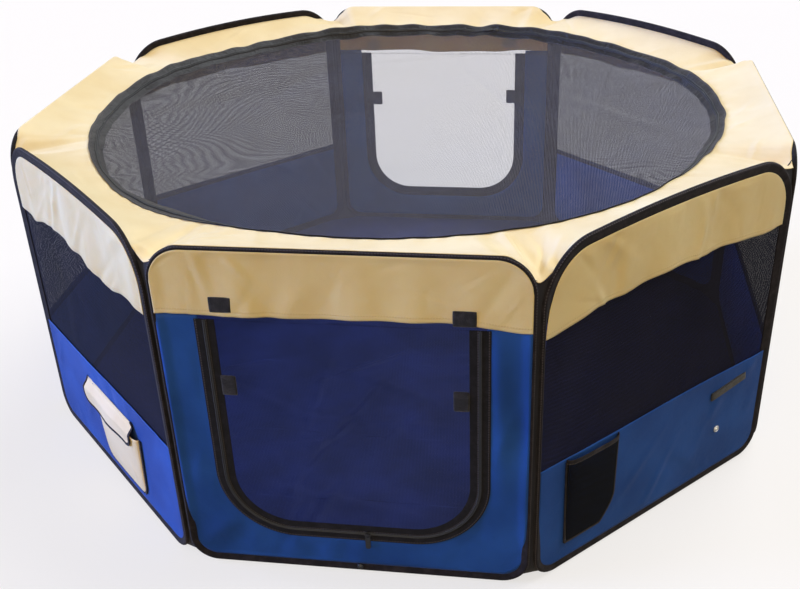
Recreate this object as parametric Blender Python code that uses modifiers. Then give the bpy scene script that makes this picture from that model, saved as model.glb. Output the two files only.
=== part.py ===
"""A soft-sided pet playpen: eight wire-loop walls joined at their corners, a zipped mesh top and a floor.

Metres, +Z up. The origin is on the ground under the middle of the pen, and the front door faces -Y.
Each wall has its own frame: u runs along the wall to the right as seen from outside, n points out of
the pen from the wall's middle plane, and z is up.
"""

import math

import bmesh
import bpy
from mathutils import Matrix, Vector

# Driving dimensions of the whole pen
WALLS = ("front", "front_right", "right", "back_right", "back", "back_left", "left", "front_left")
DOOR_WALLS = ("front", "back")
SIDE = 0.580  # length of one wall, from corner to corner
HEIGHT = 0.600  # from the ground to the top of the wire loops
GAP = 0.0003  # clearance between pieces that touch

# Wire loops and the fabric strips between them
BINDING_RADIUS = 0.0045  # the spring wire with its tape binding
LOOP_SETBACK = 0.008  # from a corner of the pen to the loop's upright
LOOP_CORNER = 0.055  # bend radius of the loop's corners
CORNER_STEPS = 6  # facets in a quarter turn of a loop's corner, and of the fabric inside it
STRIP_THICKNESS = 0.0012

# Where the folding walls hinge, measured from their middle planes
FOLD_IN = 0.0055  # corners that fold with the insides together
FOLD_OUT = 0.008  # corners that fold with the outsides together
CORNERS_FOLDED_IN = (0, 2, 4, 6)
CORNERS_FOLDED_OUT = (1, 5)

# Wall fabrics
NET_THICKNESS = 0.0006
CLOTH_THICKNESS = 0.0009
COVER_SLACK = 0.0009  # between the net and the valance or band over it
VALANCE_DEPTH = 0.115  # from the top of the loops to the loose lower edge
VALANCE_FOLD = 0.0016  # how far the loose edge stands out in a fold
VALANCE_WAVE = 0.004  # how far the loose edge rises and falls
VALANCE_SWING = 5.0  # radians of that wave over half a wall; the folds come twice as often
VALANCE_SHIFT = 1.7  # radians by which one wall's wave differs from the next one's
VALANCE_COLUMNS = 26
VALANCE_ROWS = 5
BAND_HEIGHT = 0.225  # top edge of the lower band above the ground
BAND_OVERLAP = 0.012  # the net reaches this far behind the band

# Doors: a leaf of net in a zip that runs round three sides
ZIP_HALF_WIDTH = 0.206
ZIP_LOW = 0.083  # height of the zip's bottom run
ZIP_CORNER = 0.110
ZIP_CORNER_STEPS = 16
ZIP_TAPE_WIDTH = 0.0155
ZIP_TAPE_THICKNESS = 0.0009
LEAF_DROP = 0.0015  # from the lowest point of the valance's edge to the top of the leaf
LEAF_PLEATS = 3  # the leaf gathers up in this many strips
LEAF_THICKNESS = 0.0008
LEAF_EDGE_GAP = 0.0006  # between the leaf and the zip's middle line
LEAF_FOLD = 0.0012  # height of the soft diagonal folds in the leaf
LEAF_FOLD_ALONG = 22.0  # radians of those folds in a metre along the wall
LEAF_FOLD_DOWN = 26.0  # and in a metre of height
LEAF_COLUMNS = 14
LEAF_ROWS = 4
LEAF_LOW_ROWS = 8  # in the strip that has the round corners
LEAF_HINGE_OUT = 0.003
PLEAT_HALF_SPACING = 0.003
TAB_WIDTH = 0.033
TAB_HEIGHT = 0.025
TAB_THICKNESS = 0.0015
TAB_INSET = 0.185  # from the middle of the wall to the middle of a tab

# Zip sliders and their pulls
SLIDER_LENGTH = 0.011
SLIDER_WIDTH = 0.009
SLIDER_BASE = 0.0022
BRIDGE_LENGTH = 0.004
BRIDGE_WIDTH = 0.0052
BRIDGE_RISE = 0.0032
SLOT = 0.0022
PULL_WIDTH = 0.0085
PULL_LENGTH = 0.031
PULL_THICKNESS = 0.0012
PULL_NECK_CORNER = 0.0012
PULL_END_CORNER = 0.0038
EYE_WIDTH = 0.0051
EYE_LENGTH = 0.0048
EYE_BAR = 0.0014
EYE_CORNER = 0.0006
DOOR_SLIDER_U = 0.022
LID_SLIDER_ANGLE = math.radians(76)

# Top: a fabric ring with a round hole, closed by a net lid
TOP_THICKNESS = 0.0012
LID_ZIP_RADIUS = 0.601
LID_TAPE_WIDTH = 0.016
LID_STEPS = 72

# Floor
FLOOR_THICKNESS = 0.0012

# Bottle pocket on the front left wall
BOTTLE_U = 0.0475
BOTTLE_LOW = 0.032
BOTTLE_WIDTH = 0.185
BOTTLE_HEIGHT = 0.130
BOTTLE_DEPTH = 0.0135
BOTTLE_TAPER = 0.012
POUCH_FOOT = 0.65  # depth of a pocket at its foot, as a share of its mouth's
FLAP_U = 0.0175
FLAP_WIDTH = 0.205
FLAP_TOP = 0.186
FLAP_DROP = 0.048
FLAP_CORNER = 0.014
FLAP_GRID = (8, 12)  # columns and rows

# Net pocket, closure patch and snap on the front right wall
NET_POCKET_U = -0.1675
NET_POCKET_LOW = 0.050
NET_POCKET_WIDTH = 0.115
NET_POCKET_HEIGHT = 0.168
NET_POCKET_DEPTH = 0.0098
NET_POCKET_TAPER = 0.004
PATCH_U = 0.179
PATCH_Z = 0.187
PATCH_LENGTH = 0.098
PATCH_WIDTH = 0.017
PATCH_TILT = math.radians(6)
PATCH_THICKNESS = 0.0018
PATCH_CORNER = 0.003
SMALL_CORNER_STEPS = 2
SNAP_U = 0.159
SNAP_Z = 0.103
SNAP_RADIUS = 0.007
SNAP_STEPS = 20
SNAP_PROFILE = (  # out from the middle and up from the cloth, in snap radii
    (0, 0.55),
    (0.3, 0.5),
    (0.45, 0.3),
    (0.6, 0.3),
    (0.8, 0.42),
    (0.95, 0.3),
    (1, 0.1),
    (0.9, 0),
    (0, 0),
)

# Values worked out from those above
WALL_COUNT = len(WALLS)
TURN = 2 * math.pi / WALL_COUNT
HALF_TURN = TURN / 2
INRADIUS = SIDE / (2 * math.tan(HALF_TURN))
LOOP_LOW = FLOOR_THICKNESS + GAP
LOOP_HALF = SIDE / 2 - LOOP_SETBACK
FABRIC_INSET = BINDING_RADIUS + GAP
FABRIC_HALF = LOOP_HALF - FABRIC_INSET
FABRIC_LOW = LOOP_LOW + BINDING_RADIUS + FABRIC_INSET
FABRIC_HIGH = HEIGHT - BINDING_RADIUS - FABRIC_INSET
FABRIC_CORNER = LOOP_CORNER - FABRIC_INSET
COVER_OUT = NET_THICKNESS / 2 + COVER_SLACK + CLOTH_THICKNESS / 2
BAND_FACE = COVER_OUT + CLOTH_THICKNESS / 2
TAPE_OUT = CLOTH_THICKNESS / 2 + GAP + ZIP_TAPE_THICKNESS / 2
LEAF_TOP = HEIGHT - VALANCE_DEPTH - VALANCE_WAVE - LEAF_DROP
LEAF_LOW = ZIP_LOW + LEAF_EDGE_GAP
LEAF_STRIP = (LEAF_TOP - LEAF_LOW) / LEAF_PLEATS
TOP_LEVEL = HEIGHT + GAP + TOP_THICKNESS / 2
HOLE_RADIUS = LID_ZIP_RADIUS + LID_TAPE_WIDTH
LID_SLIDER_RADIUS = LID_ZIP_RADIUS + SLIDER_WIDTH / 2  # just clear of the lid as it lifts

COLOURS = {
    "binding": ((0.02, 0.018, 0.022), 0.8, 0.0),
    "cream": ((0.86, 0.74, 0.50), 0.85, 0.0),
    "blue": ((0.04, 0.09, 0.34), 0.8, 0.0),
    "net": ((0.03, 0.03, 0.045), 0.9, 0.0),
    "metal": ((0.62, 0.62, 0.64), 0.3, 1.0),
    "enamel": ((0.02, 0.02, 0.022), 0.35, 0.0),
}


def clear_scene():
    """Remove every object, so that the script can be run again."""
    for old in list(bpy.data.objects):
        bpy.data.objects.remove(old, do_unlink=True)


def material(name):
    """One plain finish for each kind of cloth or metal."""
    colour, roughness, metallic = COLOURS[name]
    found = bpy.data.materials.new(name)
    found.use_nodes = True
    shader = found.node_tree.nodes["Principled BSDF"]
    shader.inputs["Base Color"].default_value = (*colour, 1)
    shader.inputs["Roughness"].default_value = roughness
    shader.inputs["Metallic"].default_value = metallic
    return found


def new_collection(name):
    found = bpy.data.collections.new(name)
    bpy.context.scene.collection.children.link(found)
    return found


def finish(obj, name, kind, matrix, parent=None):
    """Name a piece, give it its finish, and stand it on its parent where the matrix says."""
    obj.name = name
    obj.data.name = name
    obj.data.materials.append(material(kind))
    for owner in list(obj.users_collection):
        owner.objects.unlink(obj)
    PEN.objects.link(obj)
    place(obj, matrix, parent)
    return obj


def place(obj, matrix, parent=None):
    """Put an object at a world matrix, held by an empty or by nothing."""
    obj.parent = parent
    obj.matrix_basis = STANDS[parent.name].inverted() @ matrix if parent else matrix


def joint_empty(name, matrix, parent=None):
    """An empty on a joint's axis, which carries the pieces that turn about it."""
    empty = bpy.data.objects.new(name, None)
    empty.empty_display_size = 0.03
    PEN.objects.link(empty)
    place(empty, matrix, parent)
    STANDS[name] = matrix
    return empty


def wall_matrix(k, u=0.0, n=0.0, z=0.0):
    """World matrix of a wall's frame, moved to a point of that wall; its local Y points into the pen."""
    turn = Matrix.Rotation(TURN * k, 4, "Z")
    return turn @ Matrix.Translation((u, -(INRADIUS + n), z))


def corner_point(k, outward=0.0):
    """The corner between wall k and the next one, moved out along the corner's bisector."""
    reach = (INRADIUS + outward) / math.cos(HALF_TURN)
    angle = TURN * k + HALF_TURN - math.pi / 2
    return Vector((reach * math.cos(angle), reach * math.sin(angle), 0))


def hinge_matrix(corner, wall):
    """The fold axis at a corner, turned as the wall that it carries."""
    if corner in CORNERS_FOLDED_IN:
        outward = -FOLD_IN
    elif corner in CORNERS_FOLDED_OUT:
        outward = FOLD_OUT
    else:
        outward = 0.0
    turn = Matrix.Rotation(TURN * wall, 4, "Z")
    return Matrix.Translation(corner_point(corner, outward)) @ turn


def arc(cx, cy, radius, start, end, steps):
    """Points along an arc, both ends included; angles in degrees."""
    angles = [math.radians(start + (end - start) * i / steps) for i in range(steps + 1)]
    return [(cx + radius * math.cos(a), cy + radius * math.sin(a)) for a in angles]


def rounded_rectangle(half_width, low, high, radius, steps=CORNER_STEPS, lower_radius=None):
    """A rectangle with round corners, anticlockwise from its lower left; the lower pair may differ."""
    lower = radius if lower_radius is None else lower_radius
    x, xl = half_width - radius, half_width - lower
    points = arc(-xl, low + lower, lower, 180, 270, steps) + arc(xl, low + lower, lower, 270, 360, steps)
    points += arc(x, high - radius, radius, 0, 90, steps) + arc(-x, high - radius, radius, 90, 180, steps)
    return points


def flat_piece(name, kind, loops, thickness, matrix, parent=None, upright=True):
    """A flat outline with its thickness and perhaps a hole; an upright one stands in a wall's plane."""
    curve = bpy.data.curves.new(name, "CURVE")
    curve.dimensions = "2D"
    curve.fill_mode = "BOTH"
    curve.extrude = thickness / 2
    for loop in loops:
        spline = curve.splines.new("POLY")
        spline.points.add(len(loop) - 1)
        for point, (x, y) in zip(spline.points, loop):
            point.co = (x, y, 0, 1)
        spline.use_cyclic_u = True
    obj = bpy.data.objects.new(name, curve)
    stand = Matrix.Rotation(math.pi / 2, 4, "X") if upright else Matrix.Identity(4)
    return finish(obj, name, kind, matrix @ stand, parent)


def wire_loop(name, kind, points, radius, matrix, parent=None):
    """A closed loop of round wire through points (u, z) of a wall."""
    curve = bpy.data.curves.new(name, "CURVE")
    curve.dimensions = "3D"
    curve.bevel_depth = radius
    curve.bevel_resolution = 2
    spline = curve.splines.new("POLY")
    spline.points.add(len(points) - 1)
    for point, (u, z) in zip(spline.points, points):
        point.co = (u, 0, z, 1)
    spline.use_cyclic_u = True
    return finish(bpy.data.objects.new(name, curve), name, kind, matrix, parent)


def solid_from(bm, name):
    mesh = bpy.data.meshes.new(name)
    bm.to_mesh(mesh)
    bm.free()
    return bpy.data.objects.new(name, mesh)


def cloth(name, kind, shape, grid, thickness, matrix, parent=None):
    """A sheet of cloth: a grid whose points shape(a, b) puts in a wall's frame, given its thickness."""
    bm = bmesh.new()
    bmesh.ops.create_grid(bm, x_segments=grid[0], y_segments=grid[1], size=1)
    for vertex in bm.verts:
        u, n, z = shape(vertex.co.x, (vertex.co.y + 1) / 2)
        vertex.co = (u, -n, z)
    obj = solid_from(bm, name)
    wall = obj.modifiers.new("thickness", "SOLIDIFY")
    wall.thickness = thickness
    wall.offset = 0
    return finish(obj, name, kind, matrix, parent)


def box(size, centre):
    """A closed box as a mesh object."""
    bm = bmesh.new()
    bmesh.ops.create_cube(bm, size=1)
    bmesh.ops.scale(bm, vec=size, verts=bm.verts)
    bmesh.ops.translate(bm, vec=centre, verts=bm.verts)
    return solid_from(bm, "box")


def cutter(obj, name):
    """A shape that only cuts or joins others: kept out of the pen and drawn as wire."""
    obj.name = name
    TOOLS.objects.link(obj)
    obj.hide_render = True
    obj.display_type = "WIRE"
    return obj


def boolean(obj, other, operation):
    change = obj.modifiers.new(other.name, "BOOLEAN")
    change.object = other
    change.operation = operation
    return obj


def ease_ends(a):
    """Spread the columns of a sheet so that they are closer together near its sides."""
    return math.sin(a * math.pi / 2)


def top_edge(u, high, half, corner):
    """Height of the fabric's edge below the round top corners of a loop."""
    inward = abs(u) - (half - corner)
    if inward <= 0:
        return high
    return high - corner + math.sqrt(max(corner**2 - inward**2, 0))


def valance(k, name, parent):
    """The cloth that hangs from the loop's top bar over the net, loose along its lower edge."""
    low = HEIGHT - VALANCE_DEPTH
    phase = VALANCE_SHIFT * k

    def shape(a, b):
        u = ease_ends(a) * FABRIC_HALF
        edge = low + VALANCE_WAVE * math.sin(VALANCE_SWING * a + phase) * (1 - a * a)
        z = edge + (top_edge(u, FABRIC_HIGH, FABRIC_HALF, FABRIC_CORNER) - edge) * b
        swing = 0.5 + 0.5 * math.sin(2 * VALANCE_SWING * a + phase)
        return u, COVER_OUT + VALANCE_FOLD * swing * (1 - b) ** 1.5 * (1 - a**4), z

    grid = (VALANCE_COLUMNS, VALANCE_ROWS)
    obj = cloth(name, "cream", shape, grid, CLOTH_THICKNESS, wall_matrix(k), parent)
    if WALLS[k] in DOOR_WALLS:
        for side, word in ((-1, "left"), (1, "right")):
            rise = VALANCE_FOLD + TAB_THICKNESS
            tab = box(
                (TAB_WIDTH, rise, TAB_HEIGHT),
                (side * TAB_INSET, -(COVER_OUT + rise / 2), low + VALANCE_WAVE + TAB_HEIGHT / 2),
            )
            cutter(tab, f"{name}_tab_{word}")
            place(tab, wall_matrix(k))
            boolean(obj, tab, "UNION")
    return obj


def lower_band(k, name, parent):
    """The plain cloth along the foot of a wall."""
    u, z = FABRIC_HALF - FABRIC_CORNER, FABRIC_LOW + FABRIC_CORNER
    outline = arc(-u, z, FABRIC_CORNER, 180, 270, CORNER_STEPS)
    outline += arc(u, z, FABRIC_CORNER, 270, 360, CORNER_STEPS)
    outline += [(FABRIC_HALF, BAND_HEIGHT), (-FABRIC_HALF, BAND_HEIGHT)]
    matrix = wall_matrix(k, n=COVER_OUT)
    return flat_piece(name, "blue", [outline], CLOTH_THICKNESS, matrix, parent)


def window(k, name, parent):
    """The net of a wall, from behind the band up to the top of the loop."""
    low = BAND_HEIGHT - BAND_OVERLAP
    u, z = FABRIC_HALF - FABRIC_CORNER, FABRIC_HIGH - FABRIC_CORNER
    outline = [(-FABRIC_HALF, low), (FABRIC_HALF, low)]
    outline += arc(u, z, FABRIC_CORNER, 0, 90, CORNER_STEPS)
    outline += arc(-u, z, FABRIC_CORNER, 90, 180, CORNER_STEPS)
    return flat_piece(name, "net", [outline], NET_THICKNESS, wall_matrix(k), parent)


def door_path(grow, top):
    """The run of the door's zip, down, across and up, moved outward by grow, with its ends at top."""
    half, low, radius = ZIP_HALF_WIDTH + grow, ZIP_LOW - grow, ZIP_CORNER + grow
    u, z = half - radius, low + radius
    path = [(-half, top)] + arc(-u, z, radius, 180, 270, ZIP_CORNER_STEPS)
    return path + arc(u, z, radius, 270, 360, ZIP_CORNER_STEPS) + [(half, top)]


def door_surround(k, name, parent):
    """The cloth of a door wall, cut out for the door."""
    outer = rounded_rectangle(FABRIC_HALF, FABRIC_LOW, FABRIC_HIGH, FABRIC_CORNER)
    hole = door_path(0, LEAF_TOP + LEAF_EDGE_GAP)
    return flat_piece(name, "blue", [outer, hole], CLOTH_THICKNESS, wall_matrix(k), parent)


def zip_tape(k, name, parent):
    """The half of the zip that is sewn to the surround, round three sides of the door."""
    top = HEIGHT - VALANCE_DEPTH - VALANCE_WAVE - GAP
    band = door_path(ZIP_TAPE_WIDTH, top) + door_path(0, top)[::-1]
    return flat_piece(name, "binding", [band], ZIP_TAPE_THICKNESS, wall_matrix(k, n=TAPE_OUT), parent)


def leaf_half_width(z):
    """Half the width of the door leaf at a height, drawn in by its round lower corners."""
    half, radius = ZIP_HALF_WIDTH - LEAF_EDGE_GAP, ZIP_CORNER - LEAF_EDGE_GAP
    below = LEAF_LOW + radius - z
    if below <= 0:
        return half
    return half - radius + math.sqrt(max(radius**2 - below**2, 0))


def leaf_strip(k, index, name, parent):
    """One of the strips that the door leaf gathers into, with the soft diagonal folds of its net."""
    high = LEAF_TOP - index * LEAF_STRIP
    low = high - LEAF_STRIP
    trim = GAP / 2

    def shape(a, b):
        z = low + trim + (LEAF_STRIP - 2 * trim) * b
        u = a * leaf_half_width(z)
        calm = (1 - a**6) * math.sin(math.pi * b)
        return u, LEAF_FOLD * math.sin(LEAF_FOLD_ALONG * u + LEAF_FOLD_DOWN * z) * calm, z

    grid = (LEAF_COLUMNS, LEAF_LOW_ROWS if index == LEAF_PLEATS - 1 else LEAF_ROWS)
    return cloth(name, "net", shape, grid, LEAF_THICKNESS, wall_matrix(k), parent)


def slider(name, matrix, parent):
    """A zip slider: a body with a slotted bridge for its pull. Local Y points at the tape."""
    base = box((SLIDER_LENGTH, SLIDER_BASE, SLIDER_WIDTH), (0, -SLIDER_BASE / 2, 0))
    middle = -(SLIDER_BASE + BRIDGE_RISE / 2 - GAP)
    bridge = box((BRIDGE_LENGTH, BRIDGE_RISE + 2 * GAP, BRIDGE_WIDTH), (0, middle, 0))
    slot = box((2 * SLIDER_LENGTH, SLOT, SLOT), (0, -(SLIDER_BASE + SLOT / 2), 0))
    for part, word in ((bridge, "bridge"), (slot, "slot")):
        cutter(part, f"{name}_{word}")
        place(part, matrix)
    boolean(base, bridge, "UNION")
    boolean(base, slot, "DIFFERENCE")
    return finish(base, name, "enamel", matrix, parent)


def pull(name, matrix, parent):
    """A zip pull that hangs from its eye; its origin is the bar that turns in the slider's slot."""
    top = EYE_BAR / 2
    low = top - PULL_LENGTH
    outer = rounded_rectangle(
        PULL_WIDTH / 2, low, top, PULL_NECK_CORNER, SMALL_CORNER_STEPS + 1, PULL_END_CORNER
    )
    eye_top = top - EYE_BAR
    eye = rounded_rectangle(
        EYE_WIDTH / 2, eye_top - EYE_LENGTH, eye_top, EYE_CORNER, SMALL_CORNER_STEPS
    )
    return flat_piece(name, "enamel", [outer, eye], PULL_THICKNESS, matrix, parent)


def door(k, parent):
    """A door wall's cloth, its zip, and the leaf in strips that hinge one below the other."""
    word = WALLS[k]
    door_surround(k, f"surround_{word}", parent)
    zip_tape(k, f"zip_tape_{word}", parent)
    carrier, out = parent, LEAF_HINGE_OUT
    for index, place_word in enumerate(("upper", "middle", "lower")):
        height = LEAF_TOP - index * LEAF_STRIP
        axis = wall_matrix(k, n=out, z=height)
        carrier = joint_empty(f"axis_leaf_{place_word}_{word}", axis, carrier)
        leaf_strip(k, index, f"door_{place_word}_{word}", carrier)
        out = PLEAT_HALF_SPACING * (-1 if index == 0 else 1)
    seat = TAPE_OUT + ZIP_TAPE_THICKNESS / 2 + GAP
    at = wall_matrix(k, u=DOOR_SLIDER_U, n=seat, z=ZIP_LOW)
    rider = joint_empty(f"axis_slider_{word}", at, parent)
    slider(f"zip_slider_{word}", at, rider)
    slot = wall_matrix(k, u=DOOR_SLIDER_U, n=seat + SLIDER_BASE + SLOT / 2, z=ZIP_LOW)
    swing = joint_empty(f"axis_pull_{word}", slot, rider)
    pull(f"zip_pull_{word}", slot, swing)


def corner_strip(k, name, parent):
    """The fabric strip that joins the uprights of two loops, and bends when the pen folds."""
    between = 2 * LOOP_SETBACK * math.cos(HALF_TURN) - 2 * BINDING_RADIUS - 2 * GAP
    back = LOOP_SETBACK * math.sin(HALF_TURN)
    turn = Matrix.Rotation(TURN * k + HALF_TURN, 4, "Z")
    low, high = LOOP_LOW + LOOP_CORNER, HEIGHT - LOOP_CORNER
    strip = box((between, STRIP_THICKNESS, high - low), (0, back, (low + high) / 2))
    return finish(strip, name, "binding", Matrix.Translation(corner_point(k)) @ turn, parent)


def octagon(apothem, corner_cut=0.0):
    """The pen's plan, with its corners cut off square by a small length."""
    points = []
    side = 2 * apothem * math.tan(HALF_TURN)
    for k in range(WALL_COUNT):
        turn = Matrix.Rotation(TURN * k, 2)
        for u in (-side / 2 + corner_cut, side / 2 - corner_cut):
            points.append(tuple(turn @ Vector((u, -apothem))))
    return points


def circle(radius):
    return [tuple(p) for p in arc(0, 0, radius, 0, 360, LID_STEPS)[:-1]]


def top_parts():
    """The fabric ring, the zip's two tapes and the net lid, which hinges at the back."""
    level = Matrix.Translation((0, 0, TOP_LEVEL))
    top = joint_empty("axis_top", level)
    ring = [octagon(INRADIUS + BINDING_RADIUS, LOOP_SETBACK), circle(HOLE_RADIUS)]
    flat_piece("top_ring", "cream", ring, TOP_THICKNESS, level, top, upright=False)
    tape = [circle(LID_ZIP_RADIUS + LID_TAPE_WIDTH - GAP), circle(LID_ZIP_RADIUS)]
    flat_piece("lid_zip_tape", "binding", tape, TOP_THICKNESS, level, top, upright=False)
    hinge = Matrix.Translation((0, LID_ZIP_RADIUS, TOP_LEVEL + TOP_THICKNESS))
    lid = joint_empty("axis_lid", hinge, top)
    flat_piece("lid_net", "net", [circle(LID_ZIP_RADIUS - GAP)], TOP_THICKNESS, level, lid, upright=False)
    rider = joint_empty("axis_lid_slider", level, top)
    at = (
        Matrix.Rotation(LID_SLIDER_ANGLE - math.pi / 2, 4, "Z")
        @ Matrix.Translation((0, LID_SLIDER_RADIUS, TOP_LEVEL + TOP_THICKNESS / 2 + GAP))
        @ Matrix.Rotation(-math.pi / 2, 4, "X")
    )
    slider("lid_slider", at, rider)


def floor_mat(parent):
    """The floor cloth, which the loops stand on."""
    level = Matrix.Translation((0, 0, FLOOR_THICKNESS / 2))
    plan = octagon(INRADIUS + BINDING_RADIUS, LOOP_SETBACK)
    return flat_piece("floor_mat", "blue", [plan], FLOOR_THICKNESS, level, parent, upright=False)


def pouch(name, kind, size, taper, wall, matrix, parent):
    """A patch pocket of one sheet, open at the top and where it meets the wall."""
    width, height, depth = size
    bm = bmesh.new()
    bmesh.ops.create_cube(bm, size=1)
    for vertex in bm.verts:
        up = vertex.co.z + 0.5
        out = 0.5 - vertex.co.y
        vertex.co.x *= width - 2 * taper * (1 - up)
        vertex.co.z = height * up
        vertex.co.y = -out * depth * (POUCH_FOOT + (1 - POUCH_FOOT) * up)
    for face in list(bm.faces):
        if face.normal.z > 0.5 or face.normal.y > 0.5:
            bmesh.ops.delete(bm, geom=[face], context="FACES_ONLY")
    bm.normal_update()
    obj = solid_from(bm, name)
    skin = obj.modifiers.new("thickness", "SOLIDIFY")
    skin.thickness = wall
    skin.offset = -1
    return finish(obj, name, kind, matrix, parent)


def bottle_pocket(k, parent):
    """A bottle pocket with a loose flap over its mouth."""
    seat = BAND_FACE + GAP
    size = (BOTTLE_WIDTH, BOTTLE_HEIGHT, BOTTLE_DEPTH)
    at = wall_matrix(k, u=BOTTLE_U, n=seat, z=BOTTLE_LOW)
    pouch("bottle_pocket", "cream", size, BOTTLE_TAPER, CLOTH_THICKNESS, at, parent)
    hinge = wall_matrix(k, u=FLAP_U, n=seat + CLOTH_THICKNESS / 2, z=FLAP_TOP)
    swing = joint_empty("axis_bottle_flap", hinge, parent)
    mouth = FLAP_TOP - (BOTTLE_LOW + BOTTLE_HEIGHT)
    reach = BOTTLE_DEPTH + CLOTH_THICKNESS + 2 * GAP

    def shape(a, b):
        down = FLAP_DROP * (1 - b)
        half = FLAP_WIDTH / 2
        rest = FLAP_DROP - down
        if rest < FLAP_CORNER:
            half += -FLAP_CORNER + math.sqrt(FLAP_CORNER**2 - (FLAP_CORNER - rest) ** 2)
        lean = min(down / mouth, 1)
        return a * half, reach * (3 * lean**2 - 2 * lean**3), -down

    cloth("bottle_flap", "cream", shape, FLAP_GRID, CLOTH_THICKNESS, hinge, swing)


def net_pocket(k, parent):
    seat = BAND_FACE + GAP
    size = (NET_POCKET_WIDTH, NET_POCKET_HEIGHT, NET_POCKET_DEPTH)
    at = wall_matrix(k, u=NET_POCKET_U, n=seat, z=NET_POCKET_LOW)
    return pouch("net_pocket", "net", size, NET_POCKET_TAPER, NET_THICKNESS, at, parent)


def closure_patch(k, parent):
    """A sewn hook-and-loop patch, a little askew, that holds the folded pen shut."""
    half = PATCH_WIDTH / 2
    outline = rounded_rectangle(PATCH_LENGTH / 2, -half, half, PATCH_CORNER, SMALL_CORNER_STEPS)
    at = wall_matrix(k, u=PATCH_U, n=BAND_FACE + GAP + PATCH_THICKNESS / 2, z=PATCH_Z)
    tilt = Matrix.Rotation(-PATCH_TILT, 4, "Y")
    return flat_piece("closure_patch", "binding", [outline], PATCH_THICKNESS, at @ tilt, parent)


def snap(k, parent):
    """A pressed metal snap: a low turned ring with a domed middle."""
    bm = bmesh.new()
    previous = None
    for x, y in SNAP_PROFILE:
        vertex = bm.verts.new((x * SNAP_RADIUS, 0, y * SNAP_RADIUS))
        if previous is not None:
            bm.edges.new((previous, vertex))
        previous = vertex
    obj = solid_from(bm, "snap")
    turn = obj.modifiers.new("turn", "SCREW")
    turn.axis = "Z"
    turn.angle = 2 * math.pi
    turn.steps = SNAP_STEPS
    turn.render_steps = SNAP_STEPS
    turn.use_merge_vertices = True
    turn.merge_threshold = 0.00005
    at = wall_matrix(k, u=SNAP_U, n=BAND_FACE + GAP, z=SNAP_Z) @ Matrix.Rotation(math.pi / 2, 4, "X")
    return finish(obj, "snap", "metal", at, parent)


def wall_carriers():
    """One empty for each wall, on the corner that it folds about; the back wall holds the rest."""
    back = WALLS.index("back")
    carriers = {back: joint_empty("axis_back", wall_matrix(back))}
    for step in (1, 2, 3):
        wall = (back + step) % WALL_COUNT
        stand = hinge_matrix(wall - 1, wall)
        carriers[wall] = joint_empty(f"axis_{WALLS[wall]}", stand, carriers[wall - 1])
    for step in (1, 2, 3, 4):
        wall = back - step
        stand = hinge_matrix(wall, wall)
        carriers[wall] = joint_empty(f"axis_{WALLS[wall]}", stand, carriers[wall + 1])
    return carriers


def build_wall(k, parent):
    """A wall's loop, valance and either its net and band or its door."""
    word = WALLS[k]
    points = rounded_rectangle(
        LOOP_HALF, LOOP_LOW + BINDING_RADIUS, HEIGHT - BINDING_RADIUS, LOOP_CORNER
    )
    wire_loop(f"frame_{word}", "binding", points, BINDING_RADIUS, wall_matrix(k), parent)
    valance(k, f"valance_{word}", parent)
    corner_strip(k, f"corner_strip_{word}", parent)
    if word in DOOR_WALLS:
        door(k, parent)
    else:
        window(k, f"window_{word}", parent)
        lower_band(k, f"band_{word}", parent)


clear_scene()
STANDS = {}
PEN = new_collection("pet_playpen")
TOOLS = new_collection("cutters")
CARRIERS = wall_carriers()
for number in range(WALL_COUNT):
    build_wall(number, CARRIERS[number])
top_parts()
floor_mat(CARRIERS[WALLS.index("back")])
bottle_pocket(WALLS.index("front_left"), CARRIERS[WALLS.index("front_left")])
FRONT_RIGHT = WALLS.index("front_right")
net_pocket(FRONT_RIGHT, CARRIERS[FRONT_RIGHT])
closure_patch(FRONT_RIGHT, CARRIERS[FRONT_RIGHT])
snap(FRONT_RIGHT, CARRIERS[FRONT_RIGHT])
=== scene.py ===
"""Looks for a soft-sided pet playpen: eight wire loops in tape, cloth and net walls, two zipped net
doors and a net lid in a zip, with pockets, tabs and a snap."""

import logging
import math
from dataclasses import dataclass, field
from enum import Enum
from math import pi

import bmesh
import bpy
import numpy as np
from mathutils import Matrix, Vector
from numpy import clip, concatenate, cos, exp, linspace, sin, sqrt, stack


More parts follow.
